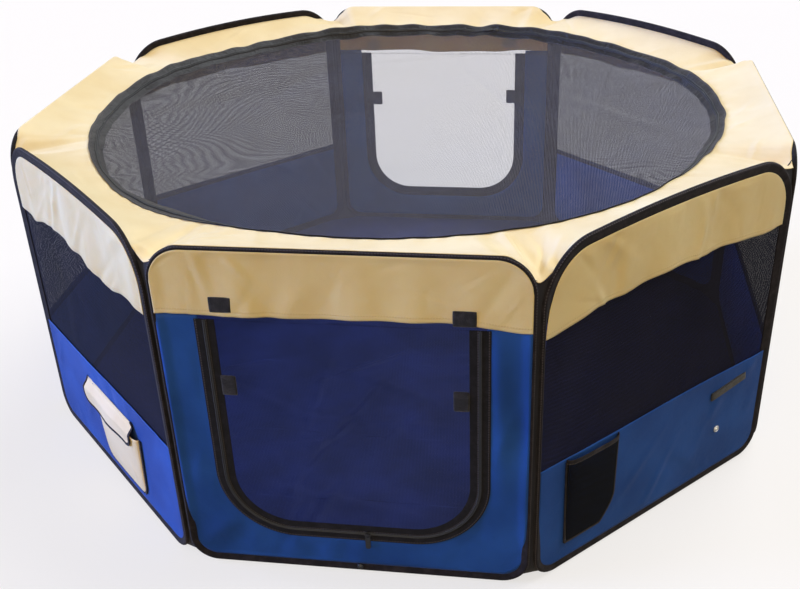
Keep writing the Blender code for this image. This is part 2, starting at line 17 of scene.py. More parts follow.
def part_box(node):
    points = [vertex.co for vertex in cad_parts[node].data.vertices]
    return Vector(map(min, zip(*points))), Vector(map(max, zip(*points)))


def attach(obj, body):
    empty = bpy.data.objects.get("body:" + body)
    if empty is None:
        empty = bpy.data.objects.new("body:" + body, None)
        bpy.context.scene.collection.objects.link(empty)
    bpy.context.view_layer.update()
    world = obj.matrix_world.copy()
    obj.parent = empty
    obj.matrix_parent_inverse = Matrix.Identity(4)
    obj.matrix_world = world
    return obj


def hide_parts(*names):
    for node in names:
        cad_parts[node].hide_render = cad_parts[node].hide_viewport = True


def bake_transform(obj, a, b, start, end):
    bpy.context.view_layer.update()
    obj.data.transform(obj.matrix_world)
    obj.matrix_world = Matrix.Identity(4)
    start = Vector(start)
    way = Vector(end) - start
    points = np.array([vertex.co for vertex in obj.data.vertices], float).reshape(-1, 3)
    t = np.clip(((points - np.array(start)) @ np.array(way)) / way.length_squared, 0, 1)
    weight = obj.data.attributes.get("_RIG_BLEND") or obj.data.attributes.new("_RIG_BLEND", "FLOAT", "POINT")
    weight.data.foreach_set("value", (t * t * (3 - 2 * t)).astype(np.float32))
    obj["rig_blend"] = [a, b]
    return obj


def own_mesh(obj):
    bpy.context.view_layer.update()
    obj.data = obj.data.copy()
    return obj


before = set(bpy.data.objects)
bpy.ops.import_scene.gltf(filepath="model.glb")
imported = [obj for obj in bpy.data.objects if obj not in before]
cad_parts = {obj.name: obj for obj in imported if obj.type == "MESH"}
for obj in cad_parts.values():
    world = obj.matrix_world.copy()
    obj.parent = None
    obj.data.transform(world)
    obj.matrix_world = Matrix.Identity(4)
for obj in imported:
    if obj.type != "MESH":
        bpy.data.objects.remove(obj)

Array = np.ndarray
Pair = tuple[float, float]
Node = bpy.types.Node
Tree = bpy.types.NodeTree

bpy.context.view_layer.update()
LOG = logging.getLogger("playpen")
EIGHTH = pi / 4
SIXTEENTH = pi / 8
CLOTH_THICKNESS = 0.0008


def linear(colour: str) -> tuple[float, float, float, float]:
    """Turns an sRGB hex value into linear light.

    Args:
        colour: six hex digits after a hash.

    Returns:
        Red, green, blue and an alpha of 1.
    """
    channels = np.array([int(colour[i : i + 2], 16) for i in (1, 3, 5)]) / 255
    dark = channels / 12.92
    light = ((channels + 0.055) / 1.055) ** 2.4
    return (*(float(c) for c in np.where(channels <= 0.04045, dark, light)), 1.0)


def add_node(tree: Tree, kind: str, inputs: dict | None = None, **settings) -> Node:
    """Adds one node with its settings and links.

    Args:
        tree: the node tree of a material or of the world.
        kind: the node's type without its ShaderNode prefix.
        inputs: for an input's name or number, a value, another node's output, or another node, which
            gives its first output in use.
        settings: the node's own properties.

    Returns:
        The new node.
    """
    node = tree.nodes.new("ShaderNode" + kind)
    for name, value in settings.items():
        setattr(node, name, value)
    for key, value in (inputs or {}).items():
        if isinstance(value, Node):
            value = next(output for output in value.outputs if output.enabled)
        if isinstance(value, bpy.types.NodeSocket):
            tree.links.new(value, node.inputs[key])
        else:
            node.inputs[key].default_value = value
    return node


def sine_wave(tree: Tree, along: bpy.types.NodeSocket, pitch: float) -> Node:
    """Adds the sine of a coordinate, one wave to each pitch in metres, and returns its node."""
    turns = add_node(tree, "Math", {0: along, 1: 2 * pi / pitch}, operation="MULTIPLY")
    return add_node(tree, "Math", {0: turns}, operation="SINE")


@dataclass(frozen=True)
class Stitching:
    """Lock stitches, as dashes along a texture's first coordinate; sizes in metres."""

    fade: float  # half the row's width where it ends
    full: float  # half its width where it is full
    pitch: float  # length of a stitch with its gap
    strength: float  # of its bump

    def sew(self, tree: Tree, axes: Node, line: float, thread: str, base: Node, normal: Node) -> list[Node]:
        """Adds one row over a colour and a bump.

        Args:
            tree: the material's node tree.
            axes: the node that parts the texture coordinate.
            line: the row's place across the texture.
            thread: the thread's colour.
            base: the colour below.
            normal: the bump below.

        Returns:
            The colour and the bump with the row.
        """
        off = add_node(tree, "Math", {0: axes.outputs["Y"], 1: line}, operation="SUBTRACT")
        near = add_node(tree, "Math", {0: off}, operation="ABSOLUTE")
        row = add_node(tree, "MapRange", {"Value": near, "From Min": self.fade, "From Max": self.full})
        dash = sine_wave(tree, axes.outputs["X"], self.pitch)
        gap = add_node(tree, "MapRange", {"Value": dash, "From Min": -0.7, "From Max": -0.3})
        stitch = add_node(tree, "Math", {0: row, 1: gap}, operation="MULTIPLY")
        bump = {"Height": stitch, "Normal": normal, "Strength": self.strength, "Distance": 0.0006}
        tones = {0: stitch, 6: base, 7: linear(thread)}
        return [add_node(tree, "Mix", tones, data_type="RGBA"), add_node(tree, "Bump", bump)]


HEM_STITCHES = Stitching(0.0014, 0.0005, 0.0042, 0.7)
TAPE_STITCHES = Stitching(0.0011, 0.0004, 0.0045, 0.8)


@dataclass(frozen=True)
class Finish:
    """One of the pen's materials, built once and then shared."""

    name: str
    colour: str
    roughness: float = 0.7

    def material(self) -> bpy.types.Material:
        """Returns this finish's material, built at its first use."""
        known = bpy.data.materials.get(self.name)
        if known is not None:
            return known
        made = bpy.data.materials.new(self.name)
        made.use_nodes = True
        tree = made.node_tree
        tree.nodes.clear()
        add_node(tree, "OutputMaterial", {"Surface": self.shade(tree, add_node(tree, "TexCoord"))})
        return made

    def shade(self, tree: Tree, where: Node) -> Node:
        """Builds the shader in a tree that holds the texture coordinates, and returns its node."""
        raise NotImplementedError


@dataclass(frozen=True)
class WovenCloth(Finish):
    """Plain-woven polyester: matt with a faint bloom, uneven in tone, creased when it was packed."""

    shade_colour: str = "#808080"
    thread_mm: float = 1.3  # the real threads are about 0.4 mm apart, too fine to show
    hem_mm: float = 0.0
    bloom: float = 0.12
    through: float = 0.0
    gloss: float = 0.35

    def shade(self, tree: Tree, where: Node) -> Node:
        """Weave as the product of two sines, one for each set of threads; tone and creases from noise; a
        row of stitches above the lower edge of a hem; some light comes through cloth that hangs loose."""
        spot = where.outputs["Object"]
        axes = add_node(tree, "SeparateXYZ", {0: where.outputs["UV"]})
        warp, weft = (sine_wave(tree, axes.outputs[axis], self.thread_mm / 1000) for axis in ("X", "Y"))
        weave = add_node(tree, "Math", {0: warp, 1: weft}, operation="MULTIPLY")
        broad = add_node(tree, "TexNoise", {"Vector": spot, "Scale": 7.0, "Detail": 3.0, "Roughness": 0.55})
        wrinkled = {"Vector": spot, "Scale": 34.0, "Detail": 4.0, "Roughness": 0.6, "Distortion": 0.6}
        fine = add_node(tree, "TexNoise", wrinkled)
        tone = add_node(tree, "MapRange", {"Value": broad, "From Min": 0.36, "From Max": 0.66})
        tones = {0: tone, 6: linear(self.shade_colour), 7: linear(self.colour)}
        base = add_node(tree, "Mix", tones, data_type="RGBA")
        creased = add_node(tree, "Bump", {"Height": fine, "Strength": 0.5, "Distance": 0.0016})
        threads = {"Height": weave, "Normal": creased, "Strength": 0.22, "Distance": 0.0003}
        normal = add_node(tree, "Bump", threads)
        if self.hem_mm:
            line = self.hem_mm / 1000
            base, normal = HEM_STITCHES.sew(tree, axes, line, self.shade_colour, base, normal)
        cloth = {
            "Base Color": base,
            "Roughness": self.roughness,
            "Normal": normal,
            "Sheen Weight": self.bloom,
            "Sheen Roughness": 0.4,
            "Specular IOR Level": self.gloss,
            "Subsurface Weight": self.through,
            "Subsurface Radius": (1.0, 0.8, 0.6),
            "Subsurface Scale": 0.002,
        }
        return add_node(tree, "BsdfPrincipled", cloth)


@dataclass(frozen=True)
class KnitNet(Finish):
    """Knitted polyester net: dark threads round six-sided holes, so it dims what lies behind it."""

    cover: float = 0.5
    pitch_mm: float = 4.0
    haze: str = "#202028"
    shine: float = 0.4

    def threshold(self) -> float:
        """Finds the level of the hole pattern below which a share of the area called cover lies."""
        side = linspace(0, 4 * pi, 400, endpoint=False)
        x, y = np.meshgrid(side, side)
        level = sum(cos(x * math.cos(a) + y * math.sin(a)) for a in (0, pi / 3, 2 * pi / 3))
        return float(np.quantile(level, self.cover))

    def shade(self, tree: Tree, where: Node) -> Node:
        """The holes are where three cosines, a third of a half turn apart, sum to more than the threshold.

        The real net's holes are about 1.5 mm wide; they are drawn nearly twice that, so that they show."""
        turns = 2 * pi / (self.pitch_mm / 1000) / math.cos(pi / 6)
        total = None
        for a in (0, pi / 3, 2 * pi / 3):
            way = (turns * math.cos(a), turns * math.sin(a), 0.0)
            along = add_node(tree, "VectorMath", {0: where.outputs["UV"], 1: way}, operation="DOT_PRODUCT")
            wave = add_node(tree, "Math", {0: along}, operation="COSINE")
            total = wave if total is None else add_node(tree, "Math", {0: total, 1: wave}, operation="ADD")
        level = self.threshold()
        hole = {"Value": total, "From Min": level + 0.28, "From Max": level - 0.28}
        tone = add_node(tree, "TexNoise", {"Vector": where.outputs["Object"], "Scale": 9.0, "Detail": 2.0})
        tones = {0: tone, 6: linear(self.colour), 7: linear(self.haze)}
        net = {
            "Base Color": add_node(tree, "Mix", tones, data_type="RGBA"),
            "Roughness": self.roughness,
            "Alpha": add_node(tree, "MapRange", hole),
            "Normal": add_node(tree, "Bump", {"Height": total, "Strength": 0.4, "Distance": 0.0004}),
            "Specular IOR Level": self.shine,
        }
        return add_node(tree, "BsdfPrincipled", net)


@dataclass(frozen=True)
class RibbedTape(Finish):
    """Woven black polyester tape: fine cross ribs, a dull bloom, and a row of lock stitches."""

    rib_mm: float = 2.2  # the real ribs are about 0.7 mm apart, too fine to show
    stitch_mm: float = 3.0
    lint: str = "#3a363c"
    shine: float = 0.15
    crumple_mm: float = 0.0

    def shade(self, tree: Tree, where: Node) -> Node:
        """Ribs as a sine along the tape; stitches as dashes on a line across it; lint as noise."""
        spot = where.outputs["Object"]
        axes = add_node(tree, "SeparateXYZ", {0: where.outputs["UV"]})
        ribs = sine_wave(tree, axes.outputs["X"], self.rib_mm / 1000)
        lint = add_node(tree, "TexNoise", {"Vector": spot, "Scale": 60.0, "Detail": 4.0, "Roughness": 0.7})
        tone = add_node(tree, "MapRange", {"Value": lint, "From Min": 0.45, "From Max": 0.8})
        tones = {0: tone, 6: linear(self.colour), 7: linear(self.lint)}
        base = add_node(tree, "Mix", tones, data_type="RGBA")
        normal = add_node(tree, "Bump", {"Height": ribs, "Strength": 0.35, "Distance": 0.0003})
        if self.crumple_mm:
            rough = {"Vector": spot, "Scale": 75.0, "Detail": 3.0, "Distortion": 0.8}
            lumps = add_node(tree, "TexNoise", rough)
            bump = {"Height": lumps, "Normal": normal, "Strength": 1.0, "Distance": self.crumple_mm / 1000}
            normal = add_node(tree, "Bump", bump)
        base, normal = TAPE_STITCHES.sew(tree, axes, self.stitch_mm / 1000, "#4a464c", base, normal)
        tape = {
            "Base Color": base,
            "Roughness": self.roughness,
            "Normal": normal,
            "Sheen Weight": 0.05,
            "Sheen Roughness": 0.5,
            "Specular IOR Level": self.shine,
        }
        return add_node(tree, "BsdfPrincipled", tape)


@dataclass(frozen=True)
class HookAndLoop(Finish):
    """Hook-and-loop tape: a dull pile that takes the light unevenly."""

    lint: str = "#3a383e"

    def shade(self, tree: Tree, where: Node) -> Node:
        """Pile as small cells, with bump and a little lint in the colour."""
        spot = where.outputs["Object"]
        pile = add_node(tree, "TexVoronoi", {"Vector": spot, "Scale": 620.0})
        lint = add_node(tree, "TexNoise", {"Vector": spot, "Scale": 90.0, "Detail": 3.0})
        tone = add_node(tree, "MapRange", {"Value": lint, "From Min": 0.45, "From Max": 0.85})
        tones = {0: tone, 6: linear(self.colour), 7: linear(self.lint)}
        tape = {
            "Base Color": add_node(tree, "Mix", tones, data_type="RGBA"),
            "Roughness": self.roughness,
            "Normal": add_node(tree, "Bump", {"Height": pile, "Strength": 0.7, "Distance": 0.0008}),
            "Sheen Weight": 0.3,
            "Specular IOR Level": 0.25,
        }
        return add_node(tree, "BsdfPrincipled", tape)


@dataclass(frozen=True)
class HardFinish(Finish):
    """A smooth hard surface, scuffed by handling: noise in its roughness, and a fine grain in its bump."""

    scuffs: Pair = (160.0, 3.0)  # scale and detail
    span: Pair = (0.1, 0.15)  # how much smoother and rougher it gets
    grain: tuple[float, ...] = ()  # scale, detail, strength and depth
    stretch: tuple[float, float, float] = (1.0, 1.0, 1.0)
    shader: dict = field(default_factory=dict)

    def shade(self, tree: Tree, where: Node) -> Node:
        """Noise raises and lowers the roughness; a second noise makes the bump where there is a grain."""
        spot = add_node(tree, "Mapping", {"Vector": where.outputs["Object"], "Scale": self.stretch})
        scale, detail = self.scuffs
        scuffs = add_node(tree, "TexNoise", {"Vector": spot, "Scale": scale, "Detail": detail})
        least, most = self.roughness - self.span[0], self.roughness + self.span[1]
        rough = add_node(tree, "MapRange", {"Value": scuffs, "To Min": least, "To Max": most})
        surface = {"Base Color": linear(self.colour), "Roughness": rough, **self.shader}
        if self.grain:
            scale, detail, strength, depth = self.grain
            grain = add_node(tree, "TexNoise", {"Vector": spot, "Scale": scale, "Detail": detail})
            bump = {"Height": grain, "Strength": strength, "Distance": depth}
            surface["Normal"] = add_node(tree, "Bump", bump)
        return add_node(tree, "BsdfPrincipled", surface)


def seen(tree: Tree, mirrored: float = 1.0) -> Node:
    """1 for what the camera or clear glass sees, and 0 for light that falls on the object; mirrored is the
    share of it that shows in a reflection."""
    path = add_node(tree, "LightPath")
    gloss = add_node(tree, "Math", {0: path.outputs["Is Glossy Ray"], 1: mirrored}, operation="MULTIPLY")
    first = add_node(tree, "Math", {0: path.outputs["Is Camera Ray"], 1: gloss}, operation="MAXIMUM")
    clear = path.outputs["Is Transmission Ray"]
    return add_node(tree, "Math", {0: first, 1: clear}, operation="MAXIMUM")


@dataclass(frozen=True)
class PaintedFloor(Finish):
    """The studio's matt floor: pale where it is seen, and darker to the light that it throws back."""

    cloud: str = "#ece2db"
    thrown: str = "#5a5a5c"
    white: float = 0.66
    mirrored: float = 0.25

    def shade(self, tree: Tree, where: Node) -> Node:
        """What is seen is two parts white to one part lit floor, so the lamps' colours hardly tint it."""
        cloud = add_node(tree, "TexNoise", {"Vector": where.outputs["Object"], "Scale": 1.5, "Detail": 2.0})
        tones = {0: cloud, 6: linear(self.colour), 7: linear(self.cloud)}
        pale = add_node(tree, "Mix", tones, data_type="RGBA")
        shown = seen(tree, self.mirrored)
        colour = add_node(tree, "Mix", {0: shown, 6: linear(self.thrown), 7: pale}, data_type="RGBA")
        lit = add_node(tree, "BsdfDiffuse", {"Color": colour})
        white = add_node(tree, "Emission", {"Color": linear("#ffffff"), "Strength": 1.0})
        share = add_node(tree, "Math", {0: shown, 1: self.white}, operation="MULTIPLY")
        return add_node(tree, "MixShader", {0: share, 1: lit, 2: white})


# Plain-woven polyester, dyed cream: a soft matt cloth, a little warmer in its hollows.
CREAM = WovenCloth("polyester_cream", "#efdcb2", 0.66, shade_colour="#e6cf9f")
# The same cloth hung loose, with a stitched hem: the light comes through it and warms it.
CREAM_HEMMED = WovenCloth(
    "polyester_cream_hemmed", "#ecd6a6", 0.68, shade_colour="#e2c994", hem_mm=8.0, through=0.6
)
# Plain-woven polyester, dyed royal blue: strong in colour, with a low sheen on its creases.
BLUE = WovenCloth("polyester_blue", "#2854a4", 0.5, shade_colour="#20458c", bloom=0.06, gloss=0.1)
# The floor's polyester, painted a darker, duller blue than the walls' blue: painted shade on the floor
# inside the pen.
FLOOR_BLUE_SHADED = WovenCloth(
    "polyester_floor_blue", "#243278", 0.6, shade_colour="#1b275f", bloom=0.06, gloss=0.2
)
# Black knitted polyester net, close: a nearly shut dark veil over the windows; its threads are painted
# lighter and bluer than the pocket's same net, as painted light from the blue floor behind it.
WINDOW_NET_LIT = KnitNet(
    "knit_net_window", "#101017", 0.85, cover=0.865, pitch_mm=2.4, haze="#201f2c", shine=0.1
)
# The same net folded double for the pocket: flat black.
POCKET_NET = KnitNet(
    "knit_net_pocket", "#060608", 0.85, cover=0.865, pitch_mm=2.4, haze="#0d0d10", shine=0.1
)
# Fine black knitted net, stretched: clear enough to show the floor and the far wall behind it.
DOOR_NET = KnitNet("knit_net_door", "#08080c", 0.8, cover=0.19, pitch_mm=2.6, haze="#121218", shine=0.12)
# Grey knitted net lit from above: a pale haze over what is inside.
LID_NET = KnitNet("knit_net_lid", "#5d5a62", 0.7, cover=0.32, pitch_mm=3.0, haze="#75727c")
# Woven polyester binding tape: a dull black line with a faint rib and a stitched edge.
BINDING = RibbedTape("grosgrain_tape_black", "#171418", 0.85, stitch_mm=3.5, lint="#322d32")
# Narrow woven trim tape: black, slightly smoother.
TRIM = RibbedTape("trim_tape_black", "#171418", 0.8, rib_mm=1.8, stitch_mm=2.2)
# Knitted polyester zip tape: the dullest black.
ZIP_TAPE = RibbedTape("zip_tape_black", "#121114", 0.85, rib_mm=1.6, lint="#242228")
# The same tape slack and crumpled on the lid's zip: its lumps catch the light.
LID_ZIP_TAPE = RibbedTape(
    "lid_zip_tape_black", "#131113", 0.4, rib_mm=1.6, lint="#2a272b", shine=0.22, crumple_mm=3.4
)
# Plain-woven polyester, dyed black: a matt dark gap at the corners.
GUSSET = WovenCloth("gusset_cloth_black", "#18151a", 0.8, shade_colour="#121014")
# Extruded nylon: a soft glint on each turn of the coil.
COIL = HardFinish("nylon_coil_black", "#0b0b0d", 0.58, shader={"IOR": 1.53})
# Knitted nylon pile: nearly no shine, and a little lint.
PILE = HookAndLoop("hook_and_loop_black", "#141316", 0.95)
# Baked enamel on cast zinc: small sharp highlights.
SLIDER_ENAMEL = HardFinish(
    "enamel_black", "#131316", 0.34, scuffs=(240.0, 5.0), span=(0.08, 0.2),
    grain=(700.0, 2.0, 0.15, 0.0002), shader={"Coat Weight": 0.4, "Coat Roughness": 0.2},
)
# Nickel plate on pressed brass: a bright point, with scratches stretched upwards.
NICKEL = HardFinish(
    "nickel_plate", "#c9c6c0", 0.24, scuffs=(1.0, 3.0), span=(0.07, 0.12),
    grain=(1.0, 3.0, 0.12, 0.0001), stretch=(900.0, 900.0, 120.0), shader={"Metallic": 1.0},
)
# Matt floor paint: an even, nearly white ground that keeps a light shadow.
FLOOR_PAINT = PaintedFloor("painted_floor", "#efe5de")


@dataclass
class Patch:
    """A grid of points with a texture coordinate in metres on each grid line."""

    points: Array  # rows by columns by 3; a face looks along columns crossed with rows
    uv: Array  # one more row or column than points where that way is closed
    closed_rows: bool = False
    closed_cols: bool = False
    finish: int = 0  # which of the piece's finishes it has

    def faces(self) -> tuple[Array, Array]:
        """Works out the corners of the four-sided faces and the texture coordinate at each corner."""
        rows, cols = self.points.shape[:2]
        down, beyond = np.arange(rows - 1 + self.closed_rows), np.arange(cols - 1 + self.closed_cols)
        i, j = np.meshgrid(down, beyond, indexing="ij")
        below, beside = (i + 1) % rows, (j + 1) % cols
        corners = [i * cols + j, i * cols + beside, below * cols + beside, below * cols + j]
        uv = [self.uv[i, j], self.uv[i, j + 1], self.uv[i + 1, j + 1], self.uv[i + 1, j]]
        return stack(corners, -1).reshape(-1, 4), stack(uv, -2).reshape(-1, 4, 2)

    def area(self) -> float:
        """The patch's area, as the sum of its faces' half products of diagonals."""
        p = self.points
        a = p[1:, 1:] - p[:-1, :-1]
        b = p[1:, :-1] - p[:-1, 1:]
        return float(np.linalg.norm(np.cross(a, b), axis=-1).sum() / 2)

    def cloth_area(self, size: Pair) -> float:
        """The patch's area, kept between 0.31 and 1 of its flat size, which is what a sheet may have."""
        whole = size[0] * size[1]
        return float(clip(self.area(), 0.31 * whole, whole))

    def flipped(self) -> "Patch":
        """The same patch looking the other way."""
        return Patch(self.points[:, ::-1], self.uv[:, ::-1])


def link_object(name: str, data: bpy.types.ID) -> bpy.types.Object:
    """Makes an object of a mesh, lamp or camera and puts it in the scene."""
    item = bpy.data.objects.new(name, data)
    bpy.context.scene.collection.objects.link(item)
    return item


def make_piece(
    name: str, patches: list[Patch], finishes: list[Finish], replaces: tuple[str, ...] = (),
    thickness: float = 0.0, solid: bool = False,
) -> bpy.types.Object:
    """Makes a piece's mesh from its patches and gives it its finishes.

    Args:
        name: the piece's name.
        patches: its surfaces, which join where their edges meet.
        finishes: the finishes that the patches name by number.
        replaces: the CAD nodes that it stands for.
        thickness: the cloth's thickness, or 0 for a single layer or a closed shape.
        solid: the patches close on themselves, so their faces are turned outwards.

    Returns:
        The piece, at the origin.
    """
    points, corners, uvs, kinds, count = [], [], [], [], 0
    for patch in patches:
        faces, uv = patch.faces()
        points.append(patch.points.reshape(-1, 3))
        corners.append(faces + count)
        uvs.append(uv.reshape(-1, 2))
        kinds.append(np.full(len(faces), patch.finish))
        count += len(points[-1])
    points, corners = concatenate(points), concatenate(corners)
    mesh = bpy.data.meshes.new(name)
    mesh.vertices.add(len(points))
    mesh.vertices.foreach_set("co", points.astype(np.float32).ravel())
    mesh.loops.add(corners.size)
    mesh.loops.foreach_set("vertex_index", corners.astype(np.int32).ravel())
    mesh.polygons.add(len(corners))
    mesh.polygons.foreach_set("loop_start", np.arange(0, corners.size, 4, dtype=np.int32))
    mesh.polygons.foreach_set("material_index", concatenate(kinds).astype(np.int32))
    layer = mesh.uv_layers.new(name="UVMap")
    mesh.update(calc_edges=True)
    layer.data.foreach_set("uv", concatenate(uvs).astype(np.float32).ravel())
    merged = bmesh.new()
    merged.from_mesh(mesh)
    bmesh.ops.remove_doubles(merged, verts=merged.verts, dist=2e-6)
    if solid:
        bmesh.ops.recalc_face_normals(merged, faces=merged.faces)
    merged.to_mesh(mesh)
    merged.free()
    mesh.polygons.foreach_set("use_smooth", np.ones(len(mesh.polygons), bool))
    for finish in finishes:
        mesh.materials.append(finish.material())
    piece = link_object(name, mesh)
    if thickness:
        skin = piece.modifiers.new("cloth thickness", "SOLIDIFY")
        skin.thickness = thickness
        skin.offset = 0.0
    if replaces:
        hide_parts(*replaces)
    return piece


def arc_lengths(points: Array, closed: bool = False) -> Array:
    """Sums the steps between points, from 0; closed adds the step from the last one back to the first."""
    line = concatenate([points, points[:1]]) if closed else points
    return concatenate([[0.0], np.cumsum(np.linalg.norm(np.diff(line, axis=0), axis=-1))])


def grid_uv(down: Array, along: Array) -> Array:
    """Texture coordinates of a grid whose rows and columns stand at these places."""
    return stack(np.meshgrid(down, along, indexing="ij"), -1)


def paired_uv(u: Array, v: Array) -> Array:
    """Texture coordinates from two arrays, spread to one shape."""
    return stack(np.broadcast_arrays(u, v), -1)


def crowded(count: int, power: float) -> Array:
    """Places from -1 to 1 that crowd towards both ends: 1 less a power of the distance to the end."""
    side = linspace(-1, 1, count)
    return np.sign(side) * (1 - (1 - np.abs(side)) ** power)


def smooth_step(x: Array) -> Array:
    """Eases from 0 to 1: three x squared less two x cubed, held at the ends."""
    x = clip(x, 0, 1)
    return x * x * (3 - 2 * x)


def ridge(u: Array, z: Array, at: Pair, lean: float, wide: float, rise: float, long: float) -> Array:
    """One soft crease: a bell-shaped ridge with a shallower dip beside it, fading at both ends.

    Args:
        u: place along the sheet.
        z: place up the sheet.
        at: its middle, u and z.
        lean: its angle from upright, in radians.
        wide: half its width.
        rise: its height.
        long: half its length.

    Returns:
        The height at each place.
    """
    across = (u - at[0]) * math.cos(lean) + (z - at[1]) * math.sin(lean)
    along = (z - at[1]) * math.cos(lean) - (u - at[0]) * math.sin(lean)
    bell = exp(-((across / wide) ** 2)) - 0.4 * exp(-(((across - 1.7 * wide) / (1.5 * wide)) ** 2))
    return rise * bell * exp(-((along / long) ** 2))


def creases(
    u: Array, z: Array, seed: int, count: int, width: float, height: float, length: float,
    lean: Pair, reach: float = 0.0,
) -> Array:
    """Soft creases in a sheet, at places picked by a seed.

    Args:
        u: place along the sheet.
        z: place up the sheet.
        seed: picks the creases, the same each time.
        count: how many.
        width: half width of a crease.
        height: its greatest height, up or down.
        length: half its length.
        lean: least and greatest angle from upright, in radians.
        reach: picks places up to this far from 0, the same for sheets that meet; or, as 0, in the sheet.

    Returns:
        The height at each place.
    """
    pick = np.random.default_rng(seed)
    ends = ((-reach, reach),) * 2 if reach else ((u.min(), u.max()), (z.min(), z.max()))
    total = np.zeros(np.broadcast(u, z).shape)
    for _ in range(count):
        at = (pick.uniform(*ends[0]), pick.uniform(*ends[1]))
        angle, wide = pick.uniform(*lean), width * pick.uniform(0.6, 1.5)
        rise = height * pick.uniform(0.35, 1.0) * pick.choice([-1.0, 1.0])
        total += ridge(u, z, at, angle, wide, rise, length * pick.uniform(0.6, 1.4))
    return total


class Side(Enum):
    """The eight walls, anticlockwise from above; the value is a wall's place in eighths of a turn."""

    FRONT = 0
    FRONT_RIGHT = 1
    RIGHT = 2
    BACK_RIGHT = 3
    BACK = 4
    BACK_LEFT = 5
    LEFT = 6
    FRONT_LEFT = 7

    @property
    def word(self) -> str:
        """The wall's name in the frame, which is also its body's."""
        return self.name.lower()

    @property
    def piped(self) -> bool:
        """Every other wall is piped, and the ring is sewn over its wire; the rest show their tape."""
        return self.value % 2 == 0

    @property
    def has_door(self) -> bool:
        """Whether a door is in this wall."""
        return self in (Side.FRONT, Side.BACK)

    def next(self) -> "Side":
        """The wall anticlockwise of this one."""
        return Side((self.value + 1) % 8)


@dataclass(frozen=True)
class PenSizes:
    """Main sizes, read from the frame's front loop, in metres."""

    inradius: float
    half: float
    height: float
    low: float
    tube: float
    foot_corner: float = 0.042
    even_corner: float = 0.055
    odd_corner: float = 0.085
    arch: float = 0.015

    @classmethod
    def from_frame(cls) -> "PenSizes":
        """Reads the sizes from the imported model."""
        lowest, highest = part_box("frame_front")
        tube = (highest.y - lowest.y) / 2
        return cls(-(lowest.y + highest.y) / 2, highest.x - tube, highest.z, lowest.z, tube)

    @property
    def top(self) -> float:
        """Height of the top bar's middle line."""
        return self.height - self.tube

    @property
    def foot(self) -> float:
        """Height of the bottom bar's middle line."""
        return self.low + self.tube


PEN = PenSizes.from_frame()
GUSSET_TOP = {0: 0.566, 7: 0.577, 1: 0.582}  # heights of the notches between loops, by the wall before them
GUSSET_TOP_ELSEWHERE = 0.574
GUSSET_FOOT = 0.0056
NOTCH_DIP = 0.009  # how far the ring and the gusset dip at the middle of a notch


